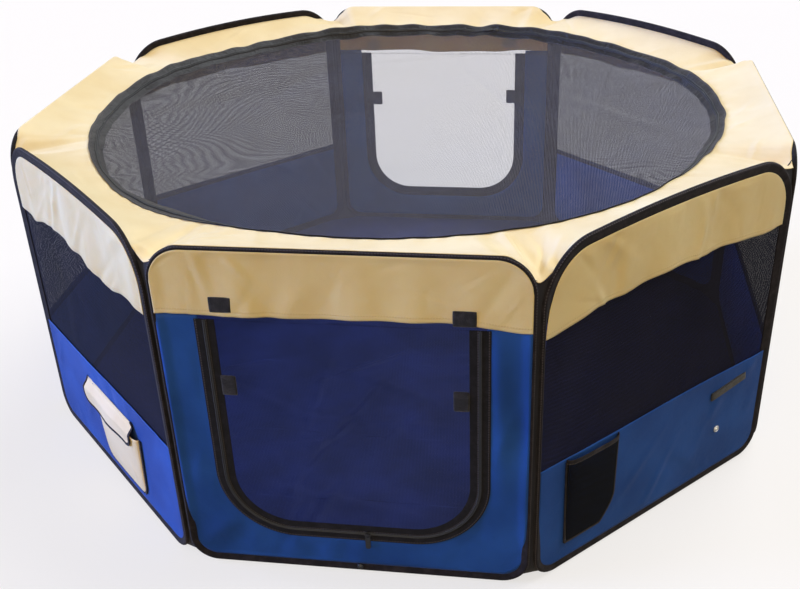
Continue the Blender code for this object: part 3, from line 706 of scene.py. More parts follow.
@dataclass(frozen=True)
class Wall:
    """One wall's own axes: u along it, n outwards and z up."""

    side: Side

    @property
    def turn(self) -> float:
        """The wall's angle about the pen's upright axis."""
        return self.side.value * EIGHTH

    @property
    def along(self) -> Array:
        """Direction of u."""
        return np.array([math.cos(self.turn), math.sin(self.turn), 0.0])

    @property
    def outward(self) -> Array:
        """Direction of n."""
        return np.array([math.sin(self.turn), -math.cos(self.turn), 0.0])

    @property
    def top_corner(self) -> float:
        """Radius of the loop's upper corners; the taped walls' loops are rounder."""
        return PEN.even_corner if self.side.piped else PEN.odd_corner

    @property
    def arch(self) -> float:
        """How far the taped walls' top bars spring up at their middle."""
        return 0.0 if self.side.piped else PEN.arch

    @property
    def bow(self) -> float:
        """How far the wall's cloth stands out at its middle."""
        return 0.0008 if self.side.has_door else (0.0026, 0.0018)[self.side.value // 2 % 2]

    def below_round(self, z: Array) -> Array:
        """1 on the loop's uprights, easing to 0 in its upper corners."""
        return smooth_step((PEN.top - self.top_corner + 0.022 - z) / 0.050)

    def cloth_u(self, a: Array, inset: float, z: Array | float) -> Array:
        """How far along the wall its cloth reaches at a share from -1 to 1: to its inset from the wire, and
        closer on the front right wall's left upright, whose tape is narrow."""
        if self.side is not Side.FRONT_RIGHT:
            return a * (PEN.half - inset) + 0 * z
        left = inset - (inset - 0.003) * self.below_round(z)
        return a * (PEN.half - np.where(a < 0, left, inset))

    def place(self, u: Array, n: Array, z: Array, bowed: bool = True) -> Array:
        """Turns wall coordinates into points, raised by the arch: a parabola along the wall times the square
        of the height.

        Args:
            u: along the wall from its middle.
            n: out from the loops' plane.
            z: above the ground.
            bowed: adds the wall's bow, a parabola along it times a half sine up it.

        Returns:
            Points, coordinates last.
        """
        u, n, z = np.broadcast_arrays(u, n, z)
        middle = clip(1 - (u / PEN.half) ** 2, 0, 1)
        if bowed:
            n = n + self.bow * middle * sin(pi * clip(z / PEN.height, 0, 1))
        z = z + self.arch * middle * (z / PEN.height) ** 2
        level = u[..., None] * self.along + (PEN.inradius + n)[..., None] * self.outward
        return level + z[..., None] * np.array([0.0, 0.0, 1.0])

    def sheet(self, u: Array, n: Array, z: Array, uv: Array | None = None) -> Patch:
        """Makes a patch of a sheet in the wall, with its texture along u and z unless it is given."""
        return Patch(self.place(u, n, z), paired_uv(u, z) if uv is None else uv)

    def sweep(
        self, path: Array, aside: Array, profile: Array, closed: bool = False, lift: float = 0.0,
        swell: Array | None = None, pinch: Array | None = None, bowed: bool = True, finish: int = 0,
    ) -> Patch:
        """Carries a closed profile along a path in the wall: path plus aside times the profile's first
        coordinate, with its second one outwards.

        Args:
            path: points by 2, u and z.
            aside: unit directions by 2.
            profile: points by 2, aside and outwards.
            closed: the path's end joins its start.
            lift: outward place of the path.
            swell: a factor on the profile at each point.
            pinch: a factor on the part of the profile against aside, at each point.
            bowed: follows the wall's bow.
            finish: which finish.

        Returns:
            The patch, closed round its profile.
        """
        scale = np.ones(len(path)) if swell is None else swell
        over = profile[None, :, 0] * scale[:, None]
        if pinch is not None:
            over = np.where(over < 0, over * pinch[:, None], over)
        out = profile[None, :, 1] * scale[:, None] + lift
        u = path[:, None, 0] + aside[:, None, 0] * over
        z = path[:, None, 1] + aside[:, None, 1] * over
        uv = grid_uv(arc_lengths(path, closed), arc_lengths(profile, closed=True))
        return Patch(self.place(u, out, z, bowed), uv, closed_rows=closed, closed_cols=True, finish=finish)

    def loop_path(self, inset: float, spacing: float = 0.006) -> tuple[Array, Array]:
        """The loop's rounded rectangle: four straight runs joined by quarter circles about fixed centres.

        Args:
            inset: distance inwards from the wire's middle line.
            spacing: length between points.

        Returns:
            The points and their outward directions, each points by 2.
        """
        high, low = self.top_corner, PEN.foot_corner
        centres = [
            (PEN.half - low, PEN.foot + low, low),
            (PEN.half - high, PEN.top - high, high),
            (high - PEN.half, PEN.top - high, high),
            (low - PEN.half, PEN.foot + low, low),
        ]
        quarter = linspace(0, pi / 2, max(8, round(pi / 2 * high / spacing)) + 1)
        arcs, ways = [], []
        for number, (cu, cz, radius) in enumerate(centres):
            angles = quarter + (number - 1) * pi / 2
            ways.append(stack([cos(angles), sin(angles)], -1))
            arcs.append(np.array([cu, cz]) + (radius - inset) * ways[-1])
        path, aside = [], []
        for number in range(4):
            start, end = arcs[number - 1][-1], arcs[number][0]
            runs = max(4, round(float(np.linalg.norm(end - start)) / spacing))
            share = linspace(0, 1, runs + 1)[1:-1, None]
            path += [start + (end - start) * share, arcs[number]]
            aside += [np.repeat(ways[number][:1], runs - 1, 0), ways[number]]
        return concatenate(path), concatenate(aside)

    def top_line(self, u: Array, inset: float) -> Array:
        """Height of the loop's top, moved inwards by inset, over a place along the wall: level, then a
        quarter circle down."""
        radius = self.top_corner - inset
        beyond = clip(np.abs(u) - (PEN.half - self.top_corner), 0, radius)
        return PEN.top - self.top_corner + sqrt(radius**2 - beyond**2)

    def foot_line(self, u: Array, inset: float, ceiling: float = 9.0) -> Array:
        """Height of the loop's foot, moved in by inset: level, then a quarter circle up to a ceiling."""
        radius = PEN.foot_corner - inset
        beyond = clip(np.abs(u) - (PEN.half - PEN.foot_corner), 0, radius)
        return np.minimum(PEN.foot + PEN.foot_corner - sqrt(radius**2 - beyond**2), ceiling)

    def end_line(self, z: Array) -> Array:
        """How far along the wall its wire stands at a height: half its length, less in the round corners."""
        high = clip(z - (PEN.top - self.top_corner), 0, self.top_corner)
        low = clip(PEN.foot + PEN.foot_corner - z, 0, PEN.foot_corner)
        reach_high = self.top_corner - sqrt(self.top_corner**2 - high**2)
        reach_low = PEN.foot_corner - sqrt(PEN.foot_corner**2 - low**2)
        return PEN.half - reach_high - reach_low

    def squash(self, piece: bpy.types.Object) -> None:
        """The piece rides on this wall, with a mesh of its own."""
        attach(piece, self.side.word)
        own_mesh(piece)


def above_foot(z: Array) -> Array:
    """0 in a loop's lower corners, easing to 1 on its uprights."""
    return smooth_step((z - PEN.foot - 0.040) / 0.10)


def flat_profile(width: float, thickness: float, count: int = 16) -> Array:
    """Section of a flat tape: an oval with nearly square ends, from powers of cosine and sine.

    Args:
        width: aside.
        thickness: outwards.
        count: points round it.

    Returns:
        Points by 2, about its middle.
    """
    angle = linspace(0, 2 * pi, count, endpoint=False)
    across = np.sign(cos(angle)) * np.abs(cos(angle)) ** 0.4
    out = np.sign(sin(angle)) * np.abs(sin(angle)) ** 0.6
    return stack([across * width / 2, out * thickness / 2], -1)


def coil_profile(width: float, height: float, count: int = 8) -> Array:
    """Section of a zip's coil: an ellipse."""
    angle = linspace(0, 2 * pi, count, endpoint=False)
    return stack([cos(angle) * width / 2, sin(angle) * height / 2], -1)


def coil_swell(lengths: Array, pitch: float) -> Array:
    """Size of a zip's coil along its length: full on each turn and a third less between two turns."""
    return 0.68 + 0.32 * np.abs(cos(pi * lengths / pitch))


@dataclass
class LoopTape:
    """The tape sewn round each wire loop: round over the wire, with a flat edge on the inside."""

    piped_edge: float = 0.0095  # where the cloth reaches the round of the wire
    taped_edge: float = 0.0160  # where the flat edge shows as a black border
    edge_thickness: float = 0.0022
    slim: float = 0.0042

    def edge(self, side: Side) -> float:
        """Width of the flat edge."""
        return self.piped_edge if side.piped else self.taped_edge

    def profile(self, side: Side) -> Array:
        """A half circle outside, drawn in on the inside to a flat edge whose end is round."""
        angle = linspace(0, 2 * pi, 22, endpoint=False)
        inward = -cos(angle)
        outer = PEN.tube * np.abs(sin(angle))
        share = clip(inward, 0, 1)
        thin = self.edge_thickness / 2
        inner = thin + (PEN.tube - thin) * (1 - share) ** 1.6
        half = np.where(inward <= 0, outer, inner * (1 - share**10) ** 0.5)
        over = np.where(inward <= 0, -inward * PEN.tube, -share * self.edge(side))
        return stack([over, np.sign(sin(angle)) * half], -1)

    def narrowing(self, side: Side, path: Array) -> Array:
        """Factor on the flat edge's width: narrow on the uprights at the front right corner, where the two
        loops lie close together, and full elsewhere."""
        way = {Side.FRONT: 1.0, Side.FRONT_RIGHT: -1.0}.get(side, 0.0)
        near = smooth_step((way * path[:, 0] - (PEN.half - 0.05)) / 0.03)
        upright = Wall(side).below_round(path[:, 1]) * above_foot(path[:, 1])
        return 1 - (1 - self.slim / self.edge(side)) * near * upright

    def build(self) -> None:
        """Makes the eight loops."""
        for side in Side:
            path, aside = Wall(side).loop_path(0.0, 0.005)
            profile, pinch = self.profile(side), self.narrowing(side, path)
            patch = Wall(side).sweep(path, aside, profile, closed=True, pinch=pinch, bowed=False)
            name, node = f"loop_tape_{side.word}", (f"frame_{side.word}",)
            piece = make_piece(name, [patch], [BINDING], node, solid=True)
            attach(piece, side.word)


HEMS = {  # height of the valance's loose edge, size of its waves, and droop towards its right or left end
    Side.FRONT: (0.490, 0.0014, 0.008),
    Side.FRONT_RIGHT: (0.480, 0.0022, -0.014),
    Side.FRONT_LEFT: (0.474, 0.0070, 0.0),
}


@dataclass
class Valance:
    """The cream cloth that hangs loose from each loop's top bar."""

    hem: float = 0.485
    columns: int = 113
    rows: int = 37
    droop_from: float = 0.62  # share of the way to a corner

    def inset(self, side: Side) -> float:
        """How far inside the wire's middle line the cloth ends."""
        return 0.001 if side.piped else 0.0125

    def hem_line(self, side: Side, u: Array) -> Array:
        """Height of the loose edge: level, with two sines that die out at the corners, and a droop at one
        end of some."""
        level, size, droop = HEMS.get(side, (self.hem, 0.003, 0.0))
        shift = 1.3 * side.value
        share = u / PEN.half
        wave = sin(4.3 * share + shift) + 0.6 * sin(11.0 * share + 2 * shift)
        end = (math.copysign(1, droop) * share - self.droop_from) / (1 - self.droop_from)
        return level + size * wave * (1 - share**8) - 0.003 * share**2 - abs(droop) * smooth_step(end)

    def shape(self, side: Side) -> tuple[Array, Array, Array, Array]:
        """Works out u, n, z and the texture: sewn at the top and sides, standing out in folds towards the
        hem, which is the sum of two sines and creases times a share that grows downwards."""
        a = crowded(self.columns, 1.25)[None, :]
        b = linspace(0, 1, self.rows)[:, None]
        inset = self.inset(side)
        wall = Wall(side)
        high = wall.top_line(wall.cloth_u(a, inset, 9.0) + 0 * b, inset)
        u = wall.cloth_u(a, inset, self.hem + b * (high - self.hem))
        low = self.hem_line(side, u)
        z = low + b * (high - low)
        free = (1 - b) ** 1.2 * (1 - np.abs(a) ** 5)
        shift = 1.7 * side.value
        folds = 0.0022 * sin(9.0 * u / 0.29 + shift + 1.2 * b)
        folds = folds + 0.0016 * sin(21.0 * u / 0.29 + 2.3 * shift - 0.8 * b)
        sewn = PEN.tube * 0.92 if side.piped else 0.0022
        edge = smooth_step((1 - np.abs(a)) / 0.08) * smooth_step((1 - b) / 0.12)
        n = sewn + (0.0030 - sewn) * edge + 0.0028 * free + folds * (0.25 + 0.75 * free) * edge
        soft = edge * smooth_step((1 - np.abs(a)) / 0.10)
        n = n + soft * creases(u, z, 11 + side.value, 9, 0.009, 0.0026, 0.05, (-0.9, 0.9))
        n = n + soft * creases(u, z, 51 + side.value, 14, 0.004, 0.0010, 0.03, (-1.3, 1.3))
        return u, np.maximum(n, 0.0012), z, paired_uv(u, b * (high - low))

    def build(self) -> None:
        """Makes the eight valances."""
        for side in Side:
            patch = Wall(side).sheet(*self.shape(side))
            name, node = f"valance_cloth_{side.word}", (f"valance_{side.word}",)
            piece = make_piece(name, [patch], [CREAM_HEMMED], node, CLOTH_THICKNESS)
            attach(piece, side.word)
            size = (2 * (PEN.half - self.inset(side)), PEN.top - self.hem)


@dataclass
class PlainWall:
    """A wall without a door: a net window behind the valance, over a band of blue cloth."""

    band_top: float = 0.225
    inset: float = 0.0075
    lap: float = 0.012  # how far the window reaches down behind the band

    def window(self, side: Side) -> None:
        """The net: a taut sheet that bows a little, with long shallow folds between its corners."""
        wall = Wall(side)
        half = PEN.half - self.inset
        b = linspace(0, 1, 61)[:, None]
        low = self.band_top - self.lap
        u = wall.cloth_u(linspace(-1, 1, 97)[None, :], self.inset, low + b * (PEN.top - low))
        z = low + b * (wall.top_line(u, self.inset) - low)
        held = smooth_step((half - np.abs(u)) / 0.04) * smooth_step(b / 0.1) * smooth_step((1 - b) / 0.1)
        shift = side.value
        folds = 0.0016 * sin(14 * u + 9 * z + shift) + 0.0012 * sin(31 * u - 12 * z + 2 * shift)
        lines = creases(u + 0 * z, z, 91 + side.value, 8, 0.012, 0.0016, 0.09, (-1.1, 1.1))
        sheet = wall.sheet(u, held * (folds + lines) - 0.0012, z)
        # The window net's lighter, bluish threads are painted light from the blue floor behind it.
        piece = make_piece(f"window_net_{side.word}", [sheet], [WINDOW_NET_LIT], (f"window_{side.word}",))
        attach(piece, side.word)

    def band(self, side: Side) -> None:
        """The lower band: cloth with soft upright and slanting creases, sewn to the net along its top."""
        wall = Wall(side)
        half = PEN.half - self.inset
        u = wall.cloth_u(crowded(97, 1.25), self.inset, 0.0)[None, :]
        b = linspace(0, 1, 49)[:, None]
        low = wall.foot_line(u, self.inset)
        high = self.band_top + 0.0016 * sin(11 * u + side.value)
        z = low + b * (high - low)
        sewn = 0.35 + 0.65 * smooth_step((1 - b) / 0.1)
        held = smooth_step((half - np.abs(u)) / 0.03) * smooth_step(b / 0.08) * sewn
        folds = 0.0012 * sin(17 * u + 7 * z + 1.9 * side.value)
        lines = creases(u + 0 * z, z, 131 + side.value, 12, 0.010, 0.0022, 0.06, (-1.0, 1.0))
        n = np.maximum(0.0016 + held * (folds + lines), 0.0006)
        sheet = wall.sheet(u, n, z, paired_uv(u, b * (high - low)))
        name, node = f"band_cloth_{side.word}", (f"band_{side.word}",)
        piece = make_piece(name, [sheet], [BLUE], node, CLOTH_THICKNESS)
        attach(piece, side.word)

    def build(self) -> None:
        """Makes the window and band of the six walls without a door."""
        for side in Side:
            if not side.has_door:
                self.window(side)
                self.band(side)


@dataclass(frozen=True)
class DoorPath:
    """The zip's line in a door wall: down one side, round two corners and up the other."""

    half: float  # half the width between its upright runs
    low: float  # height of its bottom run
    corner: float  # radius of its corners
    top: float  # height of its ends

    @property
    def upright(self) -> float:
        """Length of one upright run."""
        return self.top - self.low - self.corner

    @property
    def total(self) -> float:
        """Length from end to end."""
        return 2 * self.upright + pi * self.corner + 2 * (self.half - self.corner)

    @property
    def ends(self) -> Array:
        """Lengths at which its runs and bends start and end, from 0."""
        bend = pi / 2 * self.corner
        return np.cumsum([0.0, self.upright, bend, 2 * (self.half - self.corner), bend, self.upright])

    def at(self, s: Array) -> tuple[Array, Array]:
        """Place and outward direction at a length along the line: straight, a quarter circle, straight, a
        quarter circle and straight.

        Args:
            s: lengths from the left end.

        Returns:
            Points by 2 in u and z, and points by 2 of unit directions away from the door's middle.
        """
        ends = self.ends[1:]
        turns = ((s - ends[0]) / self.corner, (s - ends[2]) / self.corner)
        (sin_1, sin_2), (cos_1, cos_2) = (tuple(wave(turn) for turn in turns) for wave in (sin, cos))
        inner, middle = self.half - self.corner, self.low + self.corner
        r, flat = self.corner, 0 * s
        which = [s <= end for end in ends[:4]]
        u = [-self.half + flat, -inner - r * cos_1, -inner + s - ends[1], inner + r * sin_2]
        z = [self.top - s, middle - r * sin_1, self.low + flat, middle - r * cos_2]
        places = (np.select(which, u, self.half), np.select(which, z, middle + s - ends[3]))
        way_u = np.select(which, [-1 + flat, -cos_1, flat, sin_2], 1.0)
        way_z = np.select(which, [flat, -sin_1, -1 + flat, -cos_2], 0.0)
        return stack(places, -1), stack([way_u, way_z], -1)

    def length_at(self, z: float) -> float:
        """Length from the left end down to a height on the left side."""
        if z >= self.low + self.corner:
            return self.top - z
        return self.upright + self.corner * math.asin(min(1.0, (self.low + self.corner - z) / self.corner))


@dataclass(frozen=True)
class LeafStretch:
    """One visual piece of a door leaf, between two cuts, and the two strips that it bends between."""

    word: str
    high: float
    low: float
    bodies: tuple[str, ...]
    hinge: float
    stands_for: tuple[str, ...] = ()


@dataclass
class DoorWall:
    """A wall with a door: a blue surround, net behind the valance, the zip, the net leaf and its tabs."""

    side: Side
    surround_top: float = 0.487
    tape_width: float = 0.0155
    tape_thickness: float = 0.0010
    coil: Pair = (0.0030, 0.0024)  # width and height of one half's turns
    coil_pitch: float = 0.0026
    zip_lift: float = 0.0018
    corner: float = 0.110
    ease: float = 0.017

    def __post_init__(self) -> None:
        """Reads the zip's and the leaf's sizes from the frame's front door, which the back one mirrors."""
        self.wall = Wall(self.side)
        tape_low, tape_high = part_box("zip_tape_front")
        upper_low, upper_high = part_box("door_upper_front")
        lower_low, lower_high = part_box("door_lower_front")
        half = tape_high.x - self.tape_width
        self.line = DoorPath(half, tape_low.z + self.tape_width, self.corner, upper_high.z)
        self.leaf_top = upper_high.z
        hinges = (upper_high.z, (upper_low.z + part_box("door_middle_front")[1].z) / 2, lower_high.z)
        strip = (upper_high.z - lower_low.z) / 3
        cuts = [upper_high.z, *(upper_high.z - strip * (k + 0.5) for k in range(3)), lower_low.z]
        word = self.side.word
        upper, middle, lower = (f"door_{part}_{word}" for part in ("upper", "middle", "lower"))
        self.stretches = [
            LeafStretch("top", cuts[0], cuts[1], (word, upper), hinges[0], (upper,)),
            LeafStretch("second", cuts[1], cuts[2], (upper, middle), hinges[1], (middle,)),
            LeafStretch("third", cuts[2], cuts[3], (middle, lower), hinges[2], (lower,)),
            LeafStretch("foot", cuts[3], cuts[4], (lower,), cuts[4]),
        ]

    def surround(self) -> None:
        """The blue cloth round the door: lofted from the zip's line to the loop, point for point. On the
        uprights it wraps over the round of the wire and leaves a thin piping of tape."""
        in_tape, in_loop = 0.010, 0.0045
        line, top = self.line, self.surround_top
        lines = (
            DoorPath(line.half + in_tape, line.low - in_tape, line.corner + in_tape, top),
            DoorPath(PEN.half - in_loop, PEN.foot + 0.0085, PEN.foot_corner - in_loop, top),
        )
        share = linspace(0, 5, 188)  # the same share of each run and bend on both lines
        inner, outer = (path.at(np.interp(share, np.arange(6), path.ends))[0] for path in lines)
        t = linspace(0, 1, 19)[None, :]
        u = inner[:, :1] + (outer[:, :1] - inner[:, :1]) * t
        z = inner[:, 1:] + (outer[:, 1:] - inner[:, 1:]) * t
        upright = above_foot(z)
        u = u + np.sign(u) * 0.0035 * upright * t**3
        wrap = upright * smooth_step((t - 0.74) / 0.26) * (0.82 - 0.3 * smooth_step((z - 0.462) / 0.02))
        held = smooth_step(t / 0.25) * smooth_step((1 - t) / 0.12) * smooth_step((top - z) / 0.02 + 0.3)
        n = 0.0004 + PEN.tube * wrap + held * (
            0.0013 * sin(26 * z + 11 * u + 0.8 * self.side.value)
            + creases(u, z, 171 + self.side.value, 26, 0.010, 0.0020, 0.06, (-0.5, 0.5))
            + ridge(u, z, (0.236, 0.34), 0.03, 0.016, 0.0042, 0.13)
            + ridge(u, z, (-0.222, 0.075), -0.85, 0.020, 0.0040, 0.05)
        )
        patch = self.wall.sheet(u, n, z).flipped()
        word = self.side.word
        name, node = f"surround_cloth_{word}", (f"surround_{word}",)
        piece = make_piece(name, [patch], [BLUE], node, CLOTH_THICKNESS)
        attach(piece, word)
        size = (2 * PEN.half, top - PEN.foot)
        patch.cloth_area(size)

    def header(self) -> None:
        """The net that fills the loop above the door, behind the valance."""
        inset = 0.004
        half = PEN.half - inset
        u = linspace(-half, half, 81)[None, :]
        b = linspace(0, 1, 19)[:, None]
        low = self.leaf_top - 0.003
        z = low + b * (self.wall.top_line(u, inset) - low)
        n = -0.0008 + 0.0006 * sin(19 * u) * smooth_step(b) * smooth_step(1 - b)
        word = self.side.word
        piece = make_piece(f"header_net_{word}", [self.wall.sheet(u, n, z)], [DOOR_NET])
        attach(piece, word)

    def zip_half(self, start: float, end: float, outer: bool) -> list[Patch]:
        """One half of the zip along part of its line: a flat tape, and the coil at its edge with four steps
        to each turn.

        Args:
            start: length along the line where it starts.
            end: length where it ends.
            outer: the wall's half, or else the leaf's.

        Returns:
            The tape and the coil.
        """
        s = linspace(start, end, max(9, round((end - start) / self.coil_pitch * 4)))
        path, aside = self.line.at(s)
        way = 1.0 if outer else -1.0
        edge = np.array([way * (self.tape_width / 2 + 0.0006), 0.0])
        tape = flat_profile(self.tape_width, self.tape_thickness) + edge
        coil = coil_profile(*self.coil) + np.array([way * 0.0014, 0.0])
        ends = np.unique(concatenate([np.arange(0, len(s), 4), [len(s) - 1]]))
        swell = coil_swell(s, self.coil_pitch)
        turns = self.wall.sweep(path, aside, coil, lift=self.zip_lift + 0.0012, swell=swell, finish=1)
        return [self.wall.sweep(path[ends], aside[ends], tape, lift=self.zip_lift), turns]

    def fixed_zip(self) -> None:
        """The wall's half of the zip, sewn on the surround."""
        word = self.side.word
        patches = self.zip_half(0.0, self.line.total, True)
        name, node = f"zip_wall_half_{word}", (f"zip_tape_{word}",)
        piece = make_piece(name, patches, [ZIP_TAPE, COIL], node, solid=True)
        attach(piece, word)

    def leaf_folds(self, u: Array, z: Array) -> Array:
        """Outward place of the leaf's net: slanting waves that die out at the zip."""
        gap = np.minimum(self.line.half - np.abs(u), z - self.line.low)
        waves = 0.0020 * sin(17 * u + 21 * z + 0.7) + 0.0012 * sin(38 * u - 19 * z + 1.1)
        lines = creases(u, z, 211 + self.side.value, 10, 0.014, 0.0024, 0.10, (-1.2, 1.2))
        return 0.0008 + smooth_step(gap / 0.06) * (waves + lines)

    def leaf_half(self, z: Array) -> Array:
        """Half width of the leaf's net at a height: straight, then the corner's circle."""
        radius = self.line.corner - 0.004
        drop = clip(self.line.low + self.line.corner - z, 0, radius)
        return self.line.half - self.line.corner + sqrt(radius**2 - drop**2)

    def move(self, piece: bpy.types.Object, stretch: LeafStretch) -> None:
        """Bends a piece of the leaf over its stretch's hinge, or lets it ride on the lowest strip."""
        if len(stretch.bodies) == 1:
            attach(piece, stretch.bodies[0])
            return
        middle = self.wall.outward * PEN.inradius
        above = stretch.hinge + (0.0 if stretch.word == "top" else self.ease)
        start = (middle[0], middle[1], above)
        end = (middle[0], middle[1], stretch.hinge - self.ease)
        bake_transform(piece, *stretch.bodies, start=start, end=end)

    def leaf(self) -> None:
        """The leaf in four stretches, each with its net and its half of the zip on both sides."""
        word, line = self.side.word, self.line
        for stretch in self.stretches:
            foot = stretch.word == "foot"
            low = line.low + 0.0045 if foot else stretch.low
            b = linspace(0, 1, 33 if foot else 25)[:, None]
            a = linspace(-1, 1, 81)[None, :]
            z = low + b * (stretch.high - low) + 0 * a
            u = a * self.leaf_half(z)
            patch = self.wall.sheet(u, self.leaf_folds(u, z), z)
            name = f"{stretch.word}_{word}"
            net = make_piece(f"door_net_{name}", [patch], [DOOR_NET], stretch.stands_for)
            self.move(net, stretch)
            size = (2 * line.half, stretch.high - low)
            area = patch.cloth_area(size)
            start, end = line.length_at(stretch.high), line.length_at(max(stretch.low, line.low))
            runs = [(start, end), (line.total - end, line.total - start)]
            if foot:
                runs = [(start, line.total - start)]
            patches = [patch for run in runs for patch in self.zip_half(*run, False)]
            half = make_piece(f"zip_leaf_half_{name}", patches, [ZIP_TAPE, COIL], solid=True)
            self.move(half, stretch)

    def tabs(self) -> None:
        """Hook-and-loop tabs: two on the valance's hem, and two on the leaf's second stretch."""
        word = self.side.word
        us, ns, zs, _ = Valance().shape(self.side)
        for name, u, z in (("left", -0.176, 0.5075), ("right", 0.184, 0.5000)):
            out = float(ns.flat[np.argmin((us - u) ** 2 + (zs - z) ** 2)]) + 0.0012
            tab = Pad(self.wall, (u, z), (0.035, 0.026), 0.0018, out)
            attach(tab.build(f"valance_tab_{name}_{word}"), word)
        for name, u, z in (("left", -0.180, 0.363), ("right", 0.178, 0.355)):
            tab = Pad(self.wall, (u, z), (0.024, 0.036), 0.0018, 0.0022)
            self.move(tab.build(f"leaf_tab_{name}_{word}"), self.stretches[1])

    def build(self) -> None:
        """Makes the door wall's pieces and gives the slider and pull their enamel."""
        self.surround()
        self.header()
        self.fixed_zip()
        self.leaf()
        self.tabs()
        for node in (f"zip_slider_{self.side.word}", f"zip_pull_{self.side.word}"):
            dress_node(node, SLIDER_ENAMEL)


def dress_node(node: str, finish: Finish) -> None:
    """Gives a CAD node a finish in all of its material slots."""
    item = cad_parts[node]
    for place in item.material_slots:
        place.material = finish.material()
    LOG.info("%s: CAD node in %s", node, finish.name)


@dataclass(frozen=True)
class Pad:
    """A small flat patch of hook-and-loop with rounded corners and edges, closed at its back."""

    wall: Wall
    centre: Pair
    size: Pair
    thickness: float  # at its middle
    lift: float  # outward place of its back
    tilt: float = 0.0  # turned in the wall's plane, in radians

    def build(self, name: str, replaces: tuple[str, ...] = ()) -> bpy.types.Object:
        """Makes it: a square is pressed towards a circle near its corners, and the height falls to 0 with
        the tenth power of the distance from the middle.

        Args:
            name: the piece's name.
            replaces: the CAD nodes that it stands for.

        Returns:
            The piece, which rides on nothing yet.
        """
        side = crowded(25, 1.6)
        a, b = np.meshgrid(side, side)
        ring = np.maximum(np.abs(a), np.abs(b))
        round_off = 1 - 0.035 * np.abs(a * b) ** 4
        x, y = a * round_off * self.size[0] / 2, b * round_off * self.size[1] / 2
        u = self.centre[0] + x * math.cos(self.tilt) - y * math.sin(self.tilt)
        z = self.centre[1] + x * math.sin(self.tilt) + y * math.cos(self.tilt)
        out = self.lift + self.thickness * (1 - ring**10) ** 0.5
        front = self.wall.sheet(u, out, z, paired_uv(x, y))
        back = self.wall.sheet(u, self.lift + 0 * u, z, paired_uv(x, y)).flipped()
        return make_piece(name, [front, back], [PILE], replaces, solid=True)


@dataclass
class CornerGussets:
    """The black cloth between two loops, from the floor's notch to the ring's."""

    thickness: float = 0.0009
    width: float = 0.030
    length: float = 0.56
    lap: float = 0.0006  # how far it reaches past the ring and the floor

    def strip(self, side: Side, start: float, end: float) -> Patch:
        """Straight lines between two loops' outlines at each height, drawn in a little at the middle and
        dipping at the top.

        Args:
            side: the wall before the corner.
            start: share of the way across where it starts.
            end: share where it ends.

        Returns:
            The patch.
        """
        high = GUSSET_TOP.get(side.value, GUSSET_TOP_ELSEWHERE) + self.lap
        z = linspace(GUSSET_FOOT - self.lap, high, 121)
        before, after = Wall(side), Wall(side.next())
        first = before.place(before.end_line(z), -0.0005, z, bowed=False)
        second = after.place(-after.end_line(z), -0.0005, z, bowed=False)
        z = z[:, None]
        t = linspace(start, end, 13)[None, :, None]
        bow = sin(pi * t)
        dip = 0.0012 * bow * sin(40 * z[..., None] + side.value) - 0.0015 * bow
        middle = (before.outward + after.outward) / 2
        points = first[:, None] * (1 - t) + second[:, None] * t + dip * middle
        bend = bow[..., 0]
        points[..., 2] -= (NOTCH_DIP * bend + 0.004 * bend**3) * smooth_step((z - high + 0.04) / 0.04)
        across = np.linalg.norm(second - first, axis=-1)[:, None] * t[..., 0]
        return Patch(points, paired_uv(across, z))

    def build(self) -> None:
        """Makes a gusset at each folding corner, and two halves at the front left one, where the ring of
        hinges is open."""
        for side in Side:
            name, node = f"corner_gusset_{side.word}", (f"corner_strip_{side.word}",)
            if side is Side.FRONT_LEFT:
                for word, start, body in (("left", 0.0, side), ("right", 0.5, side.next())):
                    patch = self.strip(side, start, start + 0.5)
                    nodes = node if body is side else ()
                    piece = make_piece(f"{name}_{word}", [patch], [GUSSET], nodes, self.thickness)
                    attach(piece, body.word)
                    self.declare(patch, self.width / 2)
                continue
            patch = self.strip(side, 0.0, 1.0)
            piece = make_piece(name, [patch], [GUSSET], node, self.thickness)
            start = Wall(side).place(PEN.half - 0.001, 0.0, 0.3, bowed=False)
            end = Wall(side.next()).place(-PEN.half + 0.001, 0.0, 0.3, bowed=False)
            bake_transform(piece, side.word, side.next().word, start=tuple(start), end=tuple(end))
            self.declare(patch, self.width)

    def declare(self, patch: Patch, width: float) -> None:
        """Works out a gusset's area as cloth of its flat size; nothing uses it."""
        size = (width, self.length)
        area = patch.cloth_area(size)


